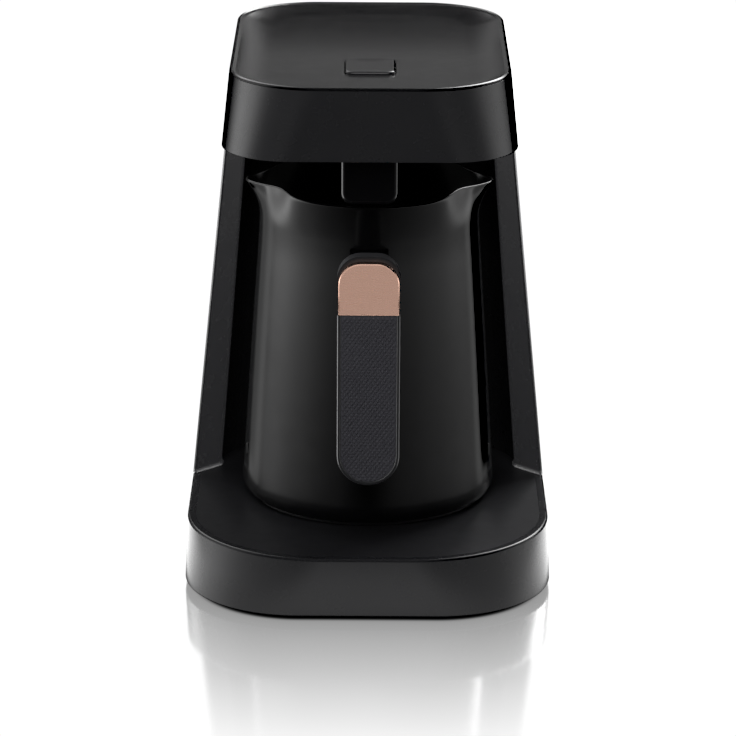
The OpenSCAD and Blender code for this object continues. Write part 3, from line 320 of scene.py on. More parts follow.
# the handle's arm and bracket are painted as shade: near black and with almost no reflection, darker than the frame
SHADED_ARM = surface("arm_painted_shade", (0.0012, 0.0012, 0.0013), (0.0018, 0.0018, 0.002), (0.50, 0.58), grain=0.1, level=0.01)
TRAY = surface("tray_black", (0.012, 0.012, 0.0135), (0.016, 0.016, 0.0175), (0.36, 0.42), grain=0.05, level=0.08)
TOP = surface("top_satin", (0.006, 0.006, 0.0066), (0.008, 0.008, 0.0087), (0.20, 0.23), grain=0.02)
INNER = surface("inner_black", (0.010, 0.010, 0.011), (0.014, 0.014, 0.015), (0.45, 0.6), grain=0.3)
LINER = surface("liner_black", (0.012, 0.012, 0.013), (0.016, 0.016, 0.017), (0.22, 0.3), grain=0.08)
GLOSS = surface("piano_black", (0.003, 0.003, 0.0035), (0.0045, 0.0045, 0.005), (0.07, 0.11), wave=0.02)
JUG = surface("jug_black", (0.0028, 0.0028, 0.0031), (0.004, 0.004, 0.0044), (0.17, 0.21), wave=0.02,
              wave_scale=26, grain=0.05)
JUG_IN = surface("jug_floor", (0.05, 0.05, 0.052), (0.07, 0.07, 0.072), (0.35, 0.45), metal=0.6, grain=0.2)
COPPER = surface("copper_satin", (0.80, 0.487, 0.372), (0.85, 0.53, 0.415), (0.25, 0.29), metal=1.0,
                 stretch=(1, 1, 6), cloud=90, grain=0.012, grain_scale=1500)
GRIP = surface("grip_rubber", (0.053, 0.052, 0.060), (0.069, 0.068, 0.078), (0.45, 0.55), grain=0.3)
RUBBER = surface("rubber_black", (0.012, 0.012, 0.012), (0.02, 0.02, 0.02), (0.6, 0.75), grain=0.4)
STEEL = surface("zinc_steel", (0.52, 0.52, 0.54), (0.66, 0.66, 0.67), (0.28, 0.42), metal=1.0, grain=0.2)
ALU = surface("cast_aluminium", (0.62, 0.62, 0.64), (0.74, 0.74, 0.75), (0.4, 0.55), metal=1.0, grain=0.4,
              grain_scale=900)
BRASS = surface("tinned_brass", (0.62, 0.46, 0.2), (0.74, 0.58, 0.3), (0.22, 0.35), metal=1.0, grain=0.1)
BOARD = surface("board_green", (0.01, 0.09, 0.035), (0.016, 0.13, 0.05), (0.3, 0.4), cloud=400, grain=0.1)
CASE = surface("case_black", (0.012, 0.012, 0.012), (0.022, 0.022, 0.022), (0.4, 0.5), grain=0.3)
BLUE = surface("case_blue", (0.02, 0.08, 0.28), (0.03, 0.1, 0.34), (0.3, 0.4), grain=0.1)
YELLOW = surface("coil_tape", (0.55, 0.4, 0.06), (0.66, 0.5, 0.1), (0.4, 0.5), grain=0.3)
WHITE = surface("case_white", (0.6, 0.59, 0.55), (0.7, 0.69, 0.65), (0.45, 0.55), grain=0.2)
IR = surface("ir_window", (0.02, 0.002, 0.006), (0.03, 0.003, 0.008), (0.06, 0.1), wave=0.01)
LENS = surface("led_amber", (0.8, 0.35, 0.12), (0.9, 0.42, 0.16), (0.1, 0.16), wave=0.01)
WIRE_GREY = surface("wire_grey", (0.35, 0.35, 0.34), (0.45, 0.45, 0.44), (0.45, 0.55), grain=0.2)
WIRE_RED = surface("wire_red", (0.35, 0.05, 0.03), (0.45, 0.07, 0.05), (0.45, 0.55), grain=0.2)
WIRE_BROWN = surface("wire_brown", (0.13, 0.06, 0.03), (0.18, 0.08, 0.04), (0.45, 0.55), grain=0.2)
SLEEVE = surface("glass_sleeve", (0.5, 0.47, 0.4), (0.65, 0.62, 0.55), (0.7, 0.85), grain=0.8, grain_scale=1400)
SHEATH = surface("oxidised_sheath", (0.10, 0.09, 0.085), (0.18, 0.16, 0.15), (0.4, 0.6), metal=0.9, grain=0.3)

CARRIED = {
    "base_cover": INNER, "feet": RUBBER, "base_screws": STEEL, "cord_gland": RUBBER, "terminal_block": WHITE,
    "column_liner": LINER, "column_screws": STEEL, "head_floor": INNER, "head_screws": STEEL,
    "sensor_window": IR, "sensor_board": BOARD, "sensor_eyes": BLUE, "switch_plunger": WHITE,
    "button_spring": STEEL, "start_switch": CASE, "control_board": BOARD, "microcontroller": CASE,
    "buzzer": CASE, "status_led": LENS, "board_screws": STEEL, "power_board": BOARD, "transformer": YELLOW,
    "relay": BLUE, "filter_capacitor": CASE, "power_screws": STEEL, "socket_housing": CASE,
    "socket_contacts": BRASS, "socket_seal": RUBBER, "head_lead": WIRE_GREY, "socket_lead": WIRE_RED,
    "mains_lead": WIRE_BROWN, "jug_floor_plate": JUG_IN, "heat_spreader": ALU, "heating_element": SHEATH,
    "jug_thermostat": WHITE, "thermal_fuse": STEEL, "jug_plug": CASE, "plug_contacts": BRASS,
    "jug_leads": SLEEVE, "foot_screws": STEEL, "handle_bracket": SHADED_ARM, "handle_screws": STEEL,
    "jug_foot": INNER,
}
for node, material in CARRIED.items():
    data = NODES[node].data
    data.materials.clear()
    data.materials.append(material)

# ---------------------------------------------------------------- base
profile = rounded([(6, FOOT_H), (0, FOOT_H), (0, BASE_H), (RIM_W, BASE_H), (RIM_W, TRAY_Z)],
                  [0, FOOT_EDGE, RIM_EDGE, 0.05, 0], 6)
v, f = skin([base_ring(z, inset) for inset, z in profile], cap0=False, cap1=False)
make("base_shell_v", v, f, "machine", BASE, ["base_shell"])
v, f = skin([base_ring(z, inset) for inset, z in ((RIM_W + TRAY_GAP, TRAY_Z), (RIM_W + TRAY_GAP, BASE_H - 0.03),
                                                  (RIM_W + 0.05, BASE_H))])
make("tray_v", v, f, "machine", TRAY, ["tray"])


# ---------------------------------------------------------------- column
def column_half(z, inset, g):
    hw, bay = body_hw(z) - inset, bay_hw(z)
    nr = max(NOSE_SOFT, g + 0.01)
    nose = arc(bay + nr, BAY_FRONT + nr * (math.sqrt(2) - 1), nr - g, 180, 225, 10)
    edge = (hw, BAY_FRONT + g * math.sqrt(2) - (hw - bay))
    corner = (hw - BACK_R + inset, body_back(z) - BACK_R)
    side = rounded([nose[-1], edge, (hw, corner[1])], [0, 0.9 if inset == 0 else 0.1, 0], 4)[1:-1]
    return [(bay + g, SPLIT)] + nose + side + arc(corner[0], corner[1], BACK_R - inset, 0, 90, 24)


def column_section(z, foot):
    def path(inset, g):
        half = column_half(z, inset, g)
        return half + [(-x, y) for x, y in reversed(half)]
    return at_z(path(0, -foot) + list(reversed(path(WALL, WALL))), z)


# (height over the base, how far the foot's fillet reaches out)
foot = [(0, 0.9), (0.25, 0.66), (0.6, 0.38), (1.0, 0.16), (1.6, 0.0), (HEAD_Z - BASE_H, 0.0)]
v, f = skin([column_section(BASE_H + up, out) for up, out in foot])
make("column_shell_v", v, f, "machine", SHELL, ["column_shell"], smooth=30)

# ---------------------------------------------------------------- head
SEAM_Z = TOTAL_H - 1.1
profile = rounded([(WALL, HEAD_Z + 2), (WALL, HEAD_Z), (0, HEAD_Z), (0, SEAM_Z - 0.12), (WALL, SEAM_Z - 0.12)],
                  [0, 0.3, 0.3, 0.06, 0], 4)
v, f = skin([head_ring(z, inset) for inset, z in profile], cap0=False, cap1=False)
make("head_shell_v", v, f, "machine", SHELL, ["head_shell"])


def pad_ring(grow, r, z, straight=1):
    hw, hl = BUTTON_W / 2 + grow, BUTTON_L / 2 + grow
    return [(x, y - BUTTON_Y, z) for x, y in outline(hw, -hl, hl, r, r, 24, straight)]


def swept(ring, n=1.0):
    """The dish's floor rises in a slow curve towards the back."""
    return [(x, y, min(z + n * SWEEP * max(0.0, y + SWEEP_FROM) ** 2, TOTAL_H - SWEEP_TOP)) for x, y, z in ring]


lip = [(LIP_R - LIP_R * math.cos(math.radians(a)),
        SEAM_Z + 0.08 + (TOTAL_H - SEAM_Z - 0.08) * math.sin(math.radians(a))) for a in range(0, 90, 15)]
wall = [(DISH_EDGE + DISH_SLOPE * u / DISH_STEPS, DISH_Z + DISH * (1 - u / DISH_STEPS) ** 2)
        for u in range(DISH_STEPS)]
rings = [head_ring(z, inset, SIDE) for inset, z in [(WALL, SEAM_Z), (0.08, SEAM_Z)] + lip]
rings += [swept(head_ring(z, inset, SIDE), min(1, (TOTAL_H - z) / DISH)) for inset, z in wall]
flat = head_ring(DISH_Z, DISH_EDGE + DISH_SLOPE, SIDE)
grown = pad_ring(BUTTON_GAP + 0.25, BUTTON_R + 0.25, DISH_Z, SIDE)
rings += [swept([tuple(a + (b - a) * k / 18 for a, b in zip(p, q)) for p, q in zip(flat, grown)]) for k in range(19)]
rings += [pad_ring(BUTTON_GAP, BUTTON_R, DISH_Z - d, SIDE) for d in (0.25, 4)]
v, f = skin(rings, cap0=False, cap1=False)
make("head_top_v", v, f, "machine", TOP, ["head_top"], smooth=50)

# ---------------------------------------------------------------- button
BUTTON_TOP = DISH_Z + BUTTON_PROUD
profile = [(0, DISH_Z - 7)] + rounded([(0, DISH_Z - 6), (0, BUTTON_TOP), (-6, BUTTON_TOP - 0.15)],
                                       [0, BUTTON_SOFT, 0], 6)
v, f = skin([pad_ring(g, max(BUTTON_R + g, 0.6), z) for g, z in profile], cap0=False)
make("button_v", v, f, "button", TOP, ["button"], smooth=60)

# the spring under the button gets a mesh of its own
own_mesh(NODES["button_spring"])


# ---------------------------------------------------------------- sensor nose
def nose_ring(y, inset, z1):
    hw, z0, r = NOSE_W / 2 - inset, HEAD_Z - NOSE_DROP + inset, max(NOSE_CORNER - inset, 0.5)
    return at_y([(-hw, z1)] + arc(r - hw, z0 + r, r, 180, 270, 12) + arc(hw - r, z0 + r, r, 270, 360, 12)
                + [(hw, z1)], y)


soft = [(NOSE_EDGE * (1 - math.sin(math.radians(a))), NOSE_EDGE * (1 - math.cos(math.radians(a))))
        for a in range(0, 91, 15)]
y0, y1 = -NOSE_FRONT, NOSE_L - NOSE_FRONT
rings = [nose_ring(y1 - d, i, HEAD_Z) for i, d in soft] + [nose_ring(y0 + d, i, HEAD_Z) for i, d in reversed(soft)]
v, f = skin(rings)
make("sensor_pod_v", v, f, "machine", GLOSS, ["sensor_pod"], smooth=50)


# ---------------------------------------------------------------- jug
def neck_side(z, soft=12.0):
    """The height, held at the neck with a soft turn instead of a crease."""
    over = z - NECK_Z
    if over <= -soft:
        return z
    return NECK_Z - (soft - over) ** 2 / (4 * soft) if over < soft else NECK_Z


def wall_r(z):
    q = min(1.0, (z - WALL_Z) / JUG_SOFT)
    up = max(0.0, z - NECK_Z) / (RIM_Z - NECK_Z)
    cone = JUG_FOOT_R - (JUG_FOOT_R - JUG_NECK_R) * ((neck_side(z) - WALL_Z) / (NECK_Z - WALL_Z)) ** 1.1
    return cone - JUG_SOFT * EDGE_IN * (1 - math.sqrt(max(0.0, 1 - (1 - q) ** 2))) + NECK_FLARE * up * up


def jug_point(z, a, inset):
    off = min(a % 180, 180 - a % 180)
    lip = math.exp(-((off / LIP_SPREAD) ** 2))
    nip = math.exp(-(((off - NIP_AT) / NIP_SPREAD) ** 2))
    up = max(0.0, z - NECK_Z) / (RIM_Z - NECK_Z)
    r = wall_r(z) - inset + up * up * (LIP_OUT * lip - PINCH * nip)
    t = math.radians(a)
    return (r * math.cos(t), r * math.sin(t), z + up * up * LIP_RISE / 2 * nip)


JUG_N = 240
heights = ([WALL_Z + t for t in (0, 0.15, 0.5, 1.1, 2.0, 3.2, JUG_SOFT, 8, 13, 20, 30, 45, 60, 75, 90, 105, 109, 112,
                                 115, 118)]
           + [NECK_Z + 15 * (i / 14) for i in range(15)])
rings = []
for z in heights:
    rings.append([jug_point(z, 360 * i / JUG_N, 0) for i in range(JUG_N)])
for k in range(1, 6):
    t = math.pi * k / 6
    ring = []
    for i in range(JUG_N):
        x, y, z = jug_point(RIM_Z, 360 * i / JUG_N, JUG_WALL / 2 - JUG_WALL / 2 * math.cos(t))
        ring.append((x, y, z + 0.7 * math.sin(t)))
    rings.append(ring)
for z in reversed(heights[6:]):
    rings.append([jug_point(z, 360 * i / JUG_N, JUG_WALL) for i in range(JUG_N)])
v, f = skin(rings, cap0=False, cap1=False)
for a in (PIN_AT, 180 - PIN_AT):
    r = wall_r(BASE_H + PIN_UP) - 0.35
    bx, by, bz = r * math.cos(math.radians(a)), r * math.sin(math.radians(a)), BASE_H + PIN_UP
    pill = [(PIN_R * math.cos(math.radians(t)), PIN_R * math.sin(math.radians(t)) + (PIN_L if t > 0 else -PIN_L) / 2)
            for t in (-80, -60, -40, -20, 0, 0.1, 20, 40, 60, 80)]
    v2, f2 = revolve(pill, 24)
    f += [tuple(i + len(v) for i in face) for face in f2]
    v += [(x + bx, y + by, z + bz) for x, y, z in v2]
make("jug_body_v", v, f, "jug", JUG, ["jug_body"], smooth=60)


# ---------------------------------------------------------------- handle
HZ0, HZ1, HY = BASE_H + HANDLE_LOW, RIM_Z - HANDLE_DROP, -HANDLE_FRONT
HBACK, INLAY_Y, SPLIT_Z, HHW = HY + HANDLE_T, HY + INLAY, HZ1 - CAP_HANDLE, HANDLE_W / 2


def handle_face(inset, n=40):
    hw, r = HHW - inset, HANDLE_R - inset
    return (arc(0, HZ0 + HHW, hw, 180, 360, n) + arc(hw - r, HZ1 - inset - r, r, 0, 90, 14)
            + arc(r - hw, HZ1 - inset - r, r, 90, 180, 14))


def grip_path(inset, n=48):
    """From the right end of the seam between cap and grip, round the lower end, to the left end of the seam."""
    hw = HHW - inset
    return [(hw, SPLIT_Z)] + arc(0, HZ0 + HHW, hw, 0, -180, n) + [(-hw, SPLIT_Z)]


back = [(2.4 * (1 - math.sin(math.radians(a))), HBACK - 3.4 * (1 - math.cos(math.radians(a))))
        for a in range(0, 91, 15)]
v, f = skin([at_y(handle_face(i), y) for i, y in back + [(0, INLAY_Y)]])
rim = rounded([(0, INLAY_Y + 1), (0, HY), (GRIP_RIM, HY), (GRIP_RIM, INLAY_Y + 1)], [0, 0.7, 0.25, 0], 5)
paths = [at_y(grip_path(i), y) for i, y in rim]
v2, f2 = skin([[p[k] for p in paths] for k in range(len(paths[0]))])
f += [tuple(i + len(v) for i in face) for face in f2]
v += v2
make("handle_frame_v", v, f, "jug", FRAME, ["handle_frame"], smooth=50)

ARM_R = HANDLE_R - 2.5
# the arm from the jug to the handle: y, half width, lower edge, upper edge
ARM_SECTIONS = [(-54.6, 9, 116, 150), (-56, 9, 115.9, 150.3), (-61.5, 9, 115.5, 151.5), (-65, 9, 114.6, 151.9),
                (-68.15, 9, 113.5, 152.2), (-70.2, 9.2, 111.5, 152.7), (-72.05, 9.6, 109, 153.4),
                (-74.6, 9.8, 105, 153.5), (-77, 10, 101, 153.6)]


def arm_ring(y, hw, z0, z1):
    return at_y([(-hw, z0), (hw, z0)] + arc(hw - ARM_R, z1 - ARM_R, ARM_R, 0, 90, 12)
                + arc(ARM_R - hw, z1 - ARM_R, ARM_R, 90, 180, 12), y)


v, f = skin([arm_ring(*section) for section in ARM_SECTIONS])
make("handle_arm_v", v, f, "jug", SHADED_ARM, smooth=50, bevel=0.6)


def cap_ring(inset, y):
    hw, r, low = HHW - CAP_EDGE - inset, HANDLE_R - CAP_EDGE - inset, SPLIT_Z + TOUCH + inset
    high = HZ1 - CAP_TOP - inset - r
    return at_y([(-hw, low), (hw, low)] + arc(hw - r, high, r, 0, 90, 24) + arc(r - hw, high, r, 90, 180, 24), y)


face = rounded([(0, INLAY_Y - TOUCH), (0, HY - 0.4), (1.4, HY - 0.4)], [0, 0.65, 0], 6)
v, f = skin([cap_ring(i, y) for i, y in face], cap0=False)
make("handle_cap_v", v, f, "jug", COPPER, ["handle_cap"], smooth=50)

# grip: a pad with a field of small diamonds
GHW, GZ0, GZ1, GC = HHW - GRIP_RIM - TOUCH, HZ0 + GRIP_RIM + TOUCH, SPLIT_Z - TOUCH, HZ0 + HHW
verts, faces = [], []


def inside(x, z):
    if z > GZ1 - 0.5:
        return False
    if z > GC:
        return abs(x) < GHW - 0.4
    return math.hypot(x, z - GC) < GHW - 0.4


edge = arc(0, GC, GHW, 180, 360, 40) + [(GHW, GZ1), (-GHW, GZ1)]
base = at_y(edge, HY + 0.75)
rim_ring = at_y([(x * 0.985, GC + (z - GC) * 0.985 if z < GC else z) for x, z in edge], HY + 0.45)
v, f = skin([at_y(edge, INLAY_Y - TOUCH), base, rim_ring], cap0=False)
verts += v
faces += f
STEP_X, STEP_Z, STUD = 0.95, 1.25, 0.42
rows = int((GZ1 - GZ0) / STEP_Z) + 1
for j in range(-1, rows + 1):
    for i in range(-14, 15):
        x = (i + (0.5 if j % 2 else 0.0)) * STEP_X * 2
        z = GZ0 + j * STEP_Z
        if not inside(x, z):
            continue
        k = len(verts)
        w, h = STEP_X * 0.86, STEP_Z * 0.86
        verts += [(x - w, HY + 0.5, z), (x, HY + 0.5, z - h), (x + w, HY + 0.5, z), (x, HY + 0.5, z + h),
                  (x - w * 0.45, HY + 0.5 - STUD, z), (x, HY + 0.5 - STUD, z - h * 0.45),
                  (x + w * 0.45, HY + 0.5 - STUD, z), (x, HY + 0.5 - STUD, z + h * 0.45)]
        faces += [(k, k + 1, k + 5, k + 4), (k + 1, k + 2, k + 6, k + 5), (k + 2, k + 3, k + 7, k + 6),
                  (k + 3, k, k + 4, k + 7), (k + 4, k + 5, k + 6, k + 7)]
make("handle_grip_v", verts, faces, "jug", GRIP, ["handle_grip"], smooth=30, weighted=False)

# ---------------------------------------------------------------- floor, light and camera
def math_node(tree, operation, a, b=None):
    n = tree.nodes.new("ShaderNodeMath")
    n.operation = operation
    for socket, value in zip(n.inputs, (a, b)):
        if value is None:
            continue
        if isinstance(value, (int, float)):
            socket.default_value = value
        else:
            tree.links.new(value, socket)
    return n.outputs["Value"]


def ramp(tree, value, lo, hi, stops):
    """A smooth line through (position, level) stops, with the value's range mapped to 0-1 first."""
    c = tree.nodes.new("ShaderNodeFloatCurve")
    curve = c.mapping.curves[0]
    c.mapping.extend = "HORIZONTAL"
    top = max(level for _, level in stops)
    points = [((p - lo) / (hi - lo), level / top) for p, level in stops]
    curve.points[0].location, curve.points[1].location = points[0], points[-1]
    for p in points[1:-1]:
        curve.points.new(*p)
    c.mapping.update()
    tree.links.new(spread(tree, value, 0, 1, lo, hi), c.inputs["Value"])
    return math_node(tree, "MULTIPLY", c.outputs["Value"], top)


def from_base(tree, coord, corner=0.049):
    """Distance on the floor from the base's outline, plus the radius of its corners."""
    xyz = tree.nodes.new("ShaderNodeSeparateXYZ")
    tree.links.new(coord.outputs["Object"], xyz.inputs["Vector"])
    dx, dy = [math_node(tree, "MAXIMUM", math_node(tree, "SUBTRACT", math_node(tree, "ABSOLUTE", xyz.outputs[axis]),
                                                   size / 2 * MM - corner), 0)
              for axis, size in (("X", BASE_W), ("Y", BASE_D))]
    return math_node(tree, "SQRT", math_node(tree, "ADD", math_node(tree, "MULTIPLY", dx, dx),
                                             math_node(tree, "MULTIPLY", dy, dy)))


def stage_mesh(name, verts, faces, material):
    mesh = bpy.data.meshes.new(name)
    mesh.from_pydata(verts, [], faces)
    mesh.materials.append(material)
    obj = bpy.data.objects.new(name, mesh)
    bpy.context.scene.collection.objects.link(obj)
    return obj


# floor: pale and even, and glossy close to the part, by the distance from the base's outline: the mirror's share is
# painted by that distance, so its reflection fades out away from the part
m, tree, bsdf, coord = nodes_of("studio_floor")
out = tree.nodes["Material Output"]
tree.nodes.remove(bsdf)
away = from_base(tree, coord)
painted_mirror_share = ramp(tree, away, 0, 0.3, [(0, 1), (0.0435, 1), (0.046, 0.7), (0.0615, 0.61), (0.083, 0.525),
                                        (0.104, 0.437), (0.125, 0.325), (0.146, 0.225), (0.166, 0.126), (0.194, 0),
                                        (0.29, 0)])
pale = tree.nodes.new("ShaderNodeEmission")
pale.inputs["Strength"].default_value = 1.03
sheen = tree.nodes.new("ShaderNodeBsdfGlossy")
# the sheen is black under the base's outline: a painted contact shadow
tree.links.new(ramp(tree, away, 0, 0.3, [(0, 0), (0.0435, 0), (0.046, 0.97), (0.29, 0.97)]), sheen.inputs["Color"])
tree.links.new(spread(tree, noise(tree, coord.outputs["Object"], 9.0), 0.09, 0.12), sheen.inputs["Roughness"])
mix = tree.nodes.new("ShaderNodeMixShader")
tree.links.new(painted_mirror_share, mix.inputs["Fac"])
tree.links.new(pale.outputs["Emission"], mix.inputs[1])
tree.links.new(sheen.outputs["BSDF"], mix.inputs[2])
tree.links.new(mix.outputs["Shader"], out.inputs["Surface"])
m.cycles.emission_sampling = "NONE"
R = 6.0
floor = stage_mesh("floor", [(-R, -R, 0), (R, -R, 0), (R, R, 0), (-R, R, 0)], [(0, 1, 2, 3)], m)
floor.visible_diffuse = floor.visible_glossy = False


def glow_through(name, strength=1.0):
    """Light that adds to what lies behind it."""
    m, tree, bsdf, coord = nodes_of(name)
    tree.nodes.remove(bsdf)
    glow = tree.nodes.new("ShaderNodeEmission")
    glow.inputs["Strength"].default_value = strength
    clear = tree.nodes.new("ShaderNodeBsdfTransparent")
    both = tree.nodes.new("ShaderNodeAddShader")
    tree.links.new(glow.outputs["Emission"], both.inputs[0])
    tree.links.new(clear.outputs["BSDF"], both.inputs[1])
    tree.links.new(both.outputs["Shader"], tree.nodes["Material Output"].inputs["Surface"])
    m.cycles.emission_sampling = "NONE"
    return m, tree, glow, coord


# light that the floor throws back on the base from close by
m, tree, glow, coord = glow_through("studio_bounce")
out = tree.nodes["Material Output"]
away = from_base(tree, coord)
ahead = tree.nodes.new("ShaderNodeSeparateXYZ")
tree.links.new(coord.outputs["Object"], ahead.inputs["Vector"])
tree.links.new(math_node(tree, "MULTIPLY", spread(tree, ahead.outputs["Y"], 1.35, 3.4, -0.1, 0.0),
                         ramp(tree, away, 0, 0.3, [(0, 0), (0.054, 0), (0.06, 1), (0.29, 1)])), glow.inputs["Strength"])
mix = tree.nodes.new("ShaderNodeMixShader")
tree.links.new(ramp(tree, away, 0, 0.3, [(0, 1), (0.115, 1), (0.165, 0), (0.29, 0)]), mix.inputs["Fac"])
tree.links.new(tree.nodes["Transparent BSDF"].outputs["BSDF"], mix.inputs[1])
tree.links.new(glow.outputs["Emission"], mix.inputs[2])
tree.links.new(mix.outputs["Shader"], out.inputs["Surface"])
H = 0.3
bounce = stage_mesh("bounce", [(-H, -H, -0.0005), (H, -H, -0.0005), (H, H, -0.0005), (-H, H, -0.0005)],
                    [(0, 1, 2, 3)], m)
bounce.visible_camera = bounce.visible_diffuse = False
lit = bpy.data.collections.new("bounce_for")
lit.objects.link(bpy.data.objects["base_shell_v"])
bounce.light_linking.receiver_collection = lit

# a white surround that only the floor's sheen sees
m, tree, glow, coord = glow_through("studio_surround", 1.05)
v, f = skin([at_z(arc(0, 0, 5, 0, 352.5, 47), z) for z in (0.001, 4)], cap0=False)
surround = stage_mesh("surround", v, f, m)
surround.visible_camera = surround.visible_diffuse = False
seen_by = bpy.data.collections.new("surround_for")
seen_by.objects.link(floor)
surround.light_linking.receiver_collection = seen_by

# world: white behind the part; for its reflections soft light from both sides, dark in front, faint low behind
world = bpy.data.worlds.new("studio")
bpy.context.scene.world = world
world.use_nodes = True
wt = world.node_tree
bg = wt.nodes["Background"]
out = wt.nodes["World Output"]
coord = wt.nodes.new("ShaderNodeTexCoord")
xyz = wt.nodes.new("ShaderNodeSeparateXYZ")
wt.links.new(coord.outputs["Generated"], xyz.inputs["Vector"])
x, y, z = xyz.outputs["X"], xyz.outputs["Y"], xyz.outputs["Z"]
side = math_node(wt, "ABSOLUTE", math_node(wt, "ARCTAN2", x, math_node(wt, "MULTIPLY", y, -1)))
rise = math_node(wt, "ARCSINE", z)
# a soft box on either side: strength by the angle from the front, times strength by the angle over the horizon
boxes = math_node(wt, "MULTIPLY",
                  ramp(wt, side, 0, math.pi, [(0, 0), (0.7, 0), (1.0, 0.04), (1.22, 0.3), (1.42, 0.9), (1.62, 1.2),
                                              (1.9, 1.1), (2.15, 0.35), (2.35, 0.03), (3.1, 0)]),
                  ramp(wt, rise, -1.57, 1.57, [(-1.5, 0), (-0.1, 0), (0.0, 1.15), (0.07, 2.2), (0.14, 1.8), (0.24, 1.0),
                                               (0.7, 1.0), (1.0, 0.5), (1.3, 0), (1.5, 0)]))
# light from the sides that grows towards the back, brightest just under the horizon
glow = math_node(wt, "MULTIPLY",
                 ramp(wt, side, 0, math.pi, [(0, 0.01), (0.27, 0.1), (0.45, 0.24), (0.65, 0.38), (0.84, 0.62),
                                             (1.03, 1.02), (1.26, 1.6), (1.48, 2.3), (1.75, 2.8), (2.03, 1.8),
                                             (2.25, 0.4), (2.4, 0.06), (3.1, 0.02)]),
                 ramp(wt, rise, -1.57, 1.57, [(-1.5, 0.3), (-0.8, 0.3), (-0.38, 0.28), (-0.25, 0.27), (-0.2, 0.32),
                                              (-0.17, 0.7), (-0.15, 1.28), (-0.12, 1.15), (-0.08, 0.74),
                                              (-0.03, 0.46), (0.03, 0.3), (0.1, 0.12), (0.16, 0), (1.5, 0)]))
# it is weaker on the right, and both are balanced between the two hands
right = spread(wt, x, 0, 1, -0.08, 0.08)
weaker = ramp(wt, side, 0, math.pi, [(0, 0.8), (0.5, 0.65), (0.77, 0.5), (1.0, 0.44), (1.24, 0.4), (1.46, 0.38),
                                     (1.7, 0.4), (2.0, 0.5), (2.25, 2.0), (2.45, 3.0), (3.1, 3.0)])
hand = math_node(wt, "SUBTRACT", 1.0, math_node(wt, "MULTIPLY", right, math_node(wt, "SUBTRACT", 1.0, weaker)))
hand_boxes = math_node(wt, "MULTIPLY", boxes, spread(wt, x, 1.0, 0.5, -0.3, 0.3))
hand_glow = math_node(wt, "MULTIPLY", glow, hand)
# two high lights behind, for the back corners of the dished top
corner = math_node(wt, "MULTIPLY",
                   ramp(wt, side, 0, math.pi, [(0, 0), (2.2, 0), (2.4, 11.5), (2.9, 11.5), (3.0, 0), (3.1, 0)]),
                   math_node(wt, "MULTIPLY", spread(wt, x, 0.25, 1.0, -0.2, 0.2),
                             ramp(wt, rise, -1.57, 1.57, [(-1.5, 0), (0.38, 0), (0.5, 1), (0.85, 1), (1.1, 0),
                                                          (1.5, 0)])))
# a low light straight behind, which the flat of the top reflects
low = ramp(wt, rise, -1.57, 1.57, [(-1.5, 0.05), (0.0, 0.08), (0.1, 0.14), (0.17, 0.23), (0.2, 0.37),
                                   (0.225, 0.455), (0.25, 0.17), (0.28, 0.01), (0.33, 0.0), (1.0, 0.0), (1.5, 0.0)])
behind = ramp(wt, side, 0, math.pi, [(0, 0), (1.8, 0), (2.5, 1), (3.1, 1)])
# a little more between the front and the sides, for the head's band
middle = math_node(wt, "MULTIPLY",
                   ramp(wt, side, 0, math.pi, [(0, 0), (0.3, 0.1), (0.55, 0.5), (0.95, 0.5), (1.3, 0.1), (1.5, 0),
                                               (3.1, 0)]),
                   ramp(wt, rise, -1.57, 1.57, [(-1.5, 0), (-0.14, 0), (-0.07, 1), (-0.02, 1), (0.03, 0), (1.5, 0)]))
hand_glow = math_node(wt, "ADD", hand_glow, middle)
level = math_node(wt, "ADD", math_node(wt, "ADD", hand_boxes, hand_glow),
                  math_node(wt, "ADD", math_node(wt, "MULTIPLY", low, behind), corner))
wt.links.new(level, bg.inputs["Strength"])
bg.inputs["Color"].default_value = (1, 1, 1, 1)
# the camera itself sees plain white
seen = wt.nodes.new("ShaderNodeBackground")
seen.inputs["Color"].default_value = (1, 1, 1, 1)
seen.inputs["Strength"].default_value = 1.05
path = wt.nodes.new("ShaderNodeLightPath")
mix = wt.nodes.new("ShaderNodeMixShader")
wt.links.new(path.outputs["Is Camera Ray"], mix.inputs["Fac"])
wt.links.new(bg.outputs["Background"], mix.inputs[1])
wt.links.new(seen.outputs["Background"], mix.inputs[2])
wt.links.new(mix.outputs["Shader"], out.inputs["Surface"])

def panel(name, loc, target, size, radiance, lights=(), glossy=True):
    """A soft panel, never seen itself. Where pieces are named, it lights only those, and nothing shades them."""
    light = bpy.data.lights.new(name, "AREA")
    light.shape = "RECTANGLE"
    light.size, light.size_y = size
    light.energy = radiance * math.pi * size[0] * size[1]
    obj = bpy.data.objects.new(name, light)
    obj.location = loc
    obj.rotation_euler = (Vector(target) - Vector(loc)).to_track_quat("-Z", "Y").to_euler()
    obj.visible_camera = False
    obj.visible_glossy = glossy
    bpy.context.scene.collection.objects.link(obj)
    if lights:
        group = bpy.data.collections.new(name + "_lights")
        for piece in lights:
            group.objects.link(bpy.data.objects[piece])
        obj.light_linking.receiver_collection = group
        open_way = bpy.data.collections.new(name + "_shade")
        open_way.objects.link(surround)
        obj.light_linking.blocker_collection = open_way


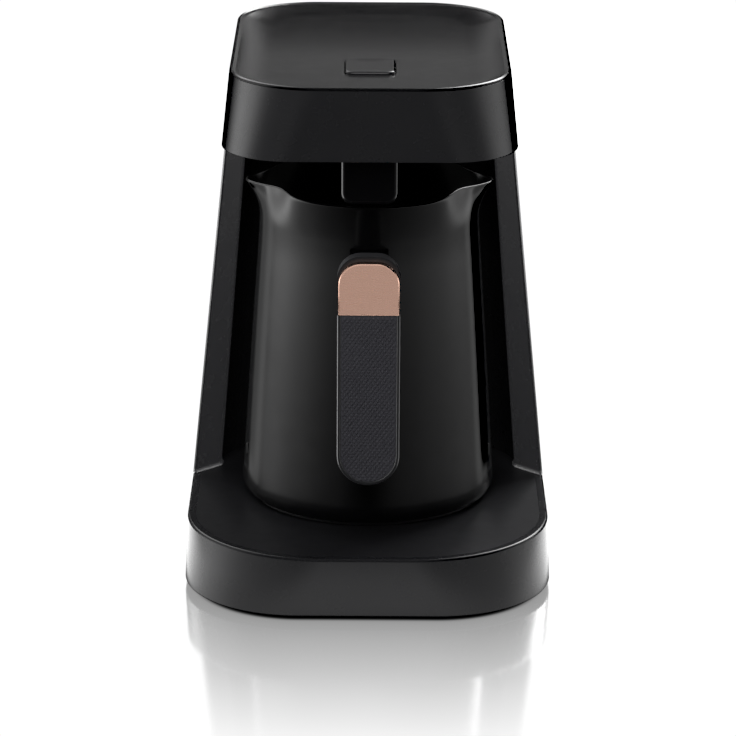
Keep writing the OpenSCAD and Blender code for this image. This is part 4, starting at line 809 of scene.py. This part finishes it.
panel("fill", (0, -1.0, 1.0), (0, 0, 0.12), (1.0, 1.0), 4.2, glossy=False)
panel("cap_card", (0, -0.9, -0.08), (0, 0, 0.14), (1.2, 0.7), 0.46, ["handle_cap_v"])
panel("cap_under", (0, -0.55, -0.9), (0, -0.08, 0.14), (1.0, 0.5), 1.6, ["handle_cap_v"])
panel("cap_over", (0, -0.85, 0.8), (0, -0.08, 0.14), (2.2, 1.3), 1.0, ["handle_cap_v"])
panel("button_card", (0, -0.6, 0.75), (0, 0, 0.22), (1.2, 0.8), 2.0, ["button_v"])
panel("strip_card", (0, -0.5, 0.45), (0, 0, 0.15), (1.0, 0.3), 1.8, ["column_shell_v"])
for hand_name, at_x in (("left", -1), ("right", 1)):
    panel("cap_" + hand_name, (0.8 * at_x, -0.15, -0.09), (0, -0.08, 0.13), (0.6, 0.6), 1.8, ["handle_cap_v"])
    panel("strip_" + hand_name, (0.62 * at_x, -0.01, 0.13), (0, 0, 0.15), (0.4, 0.26), 4.5, ["column_shell_v"])
    panel("foot_" + hand_name, (0.66 * at_x, 0.25, 0.6), (-0.07 * at_x, 0.03, 0.03), (0.22, 0.22), 40.0,
          ["column_shell_v"])
    panel("jug_" + hand_name, (0.62 * at_x, 0.6, -0.05), (0, 0, 0.08), (0.5, 0.5), 0.38 - 0.06 * at_x, ["jug_body_v"])
    panel("frame_" + hand_name, (0.7 * at_x, -0.1, 0.75), (0, -0.08, 0.15), (0.6, 0.6), 8.0 - 3 * at_x,
          ["handle_frame_v"])
    panel("edge_" + hand_name, (0.8 * at_x, -0.15, -0.12), (0, -0.08, 0.11), (0.6, 0.7), 5.0 - 2 * at_x,
          ["handle_frame_v"])
    panel("pod_" + hand_name, (0.8 * at_x, -0.15, -0.12), (0, -0.08, 0.11), (0.6, 0.7), 2.0 - at_x, ["sensor_pod_v"])

camera = bpy.data.cameras.new("camera")
camera.sensor_width = 36
camera.lens = 178.1
camera.clip_start, camera.clip_end = 0.05, 30
cam = bpy.data.objects.new("camera", camera)
cam.location = (0, -1.5, 0.5592)
cam.rotation_mode = "ZXY"
cam.rotation_euler = (math.radians(90 - 17.63), 0, math.radians(0.33))
camera.shift_x = (368 - 368.5) / 736
bpy.context.scene.collection.objects.link(cam)
bpy.context.scene.camera = cam

view = bpy.context.scene.view_settings
view.view_transform = "Standard"
view.look = "None"
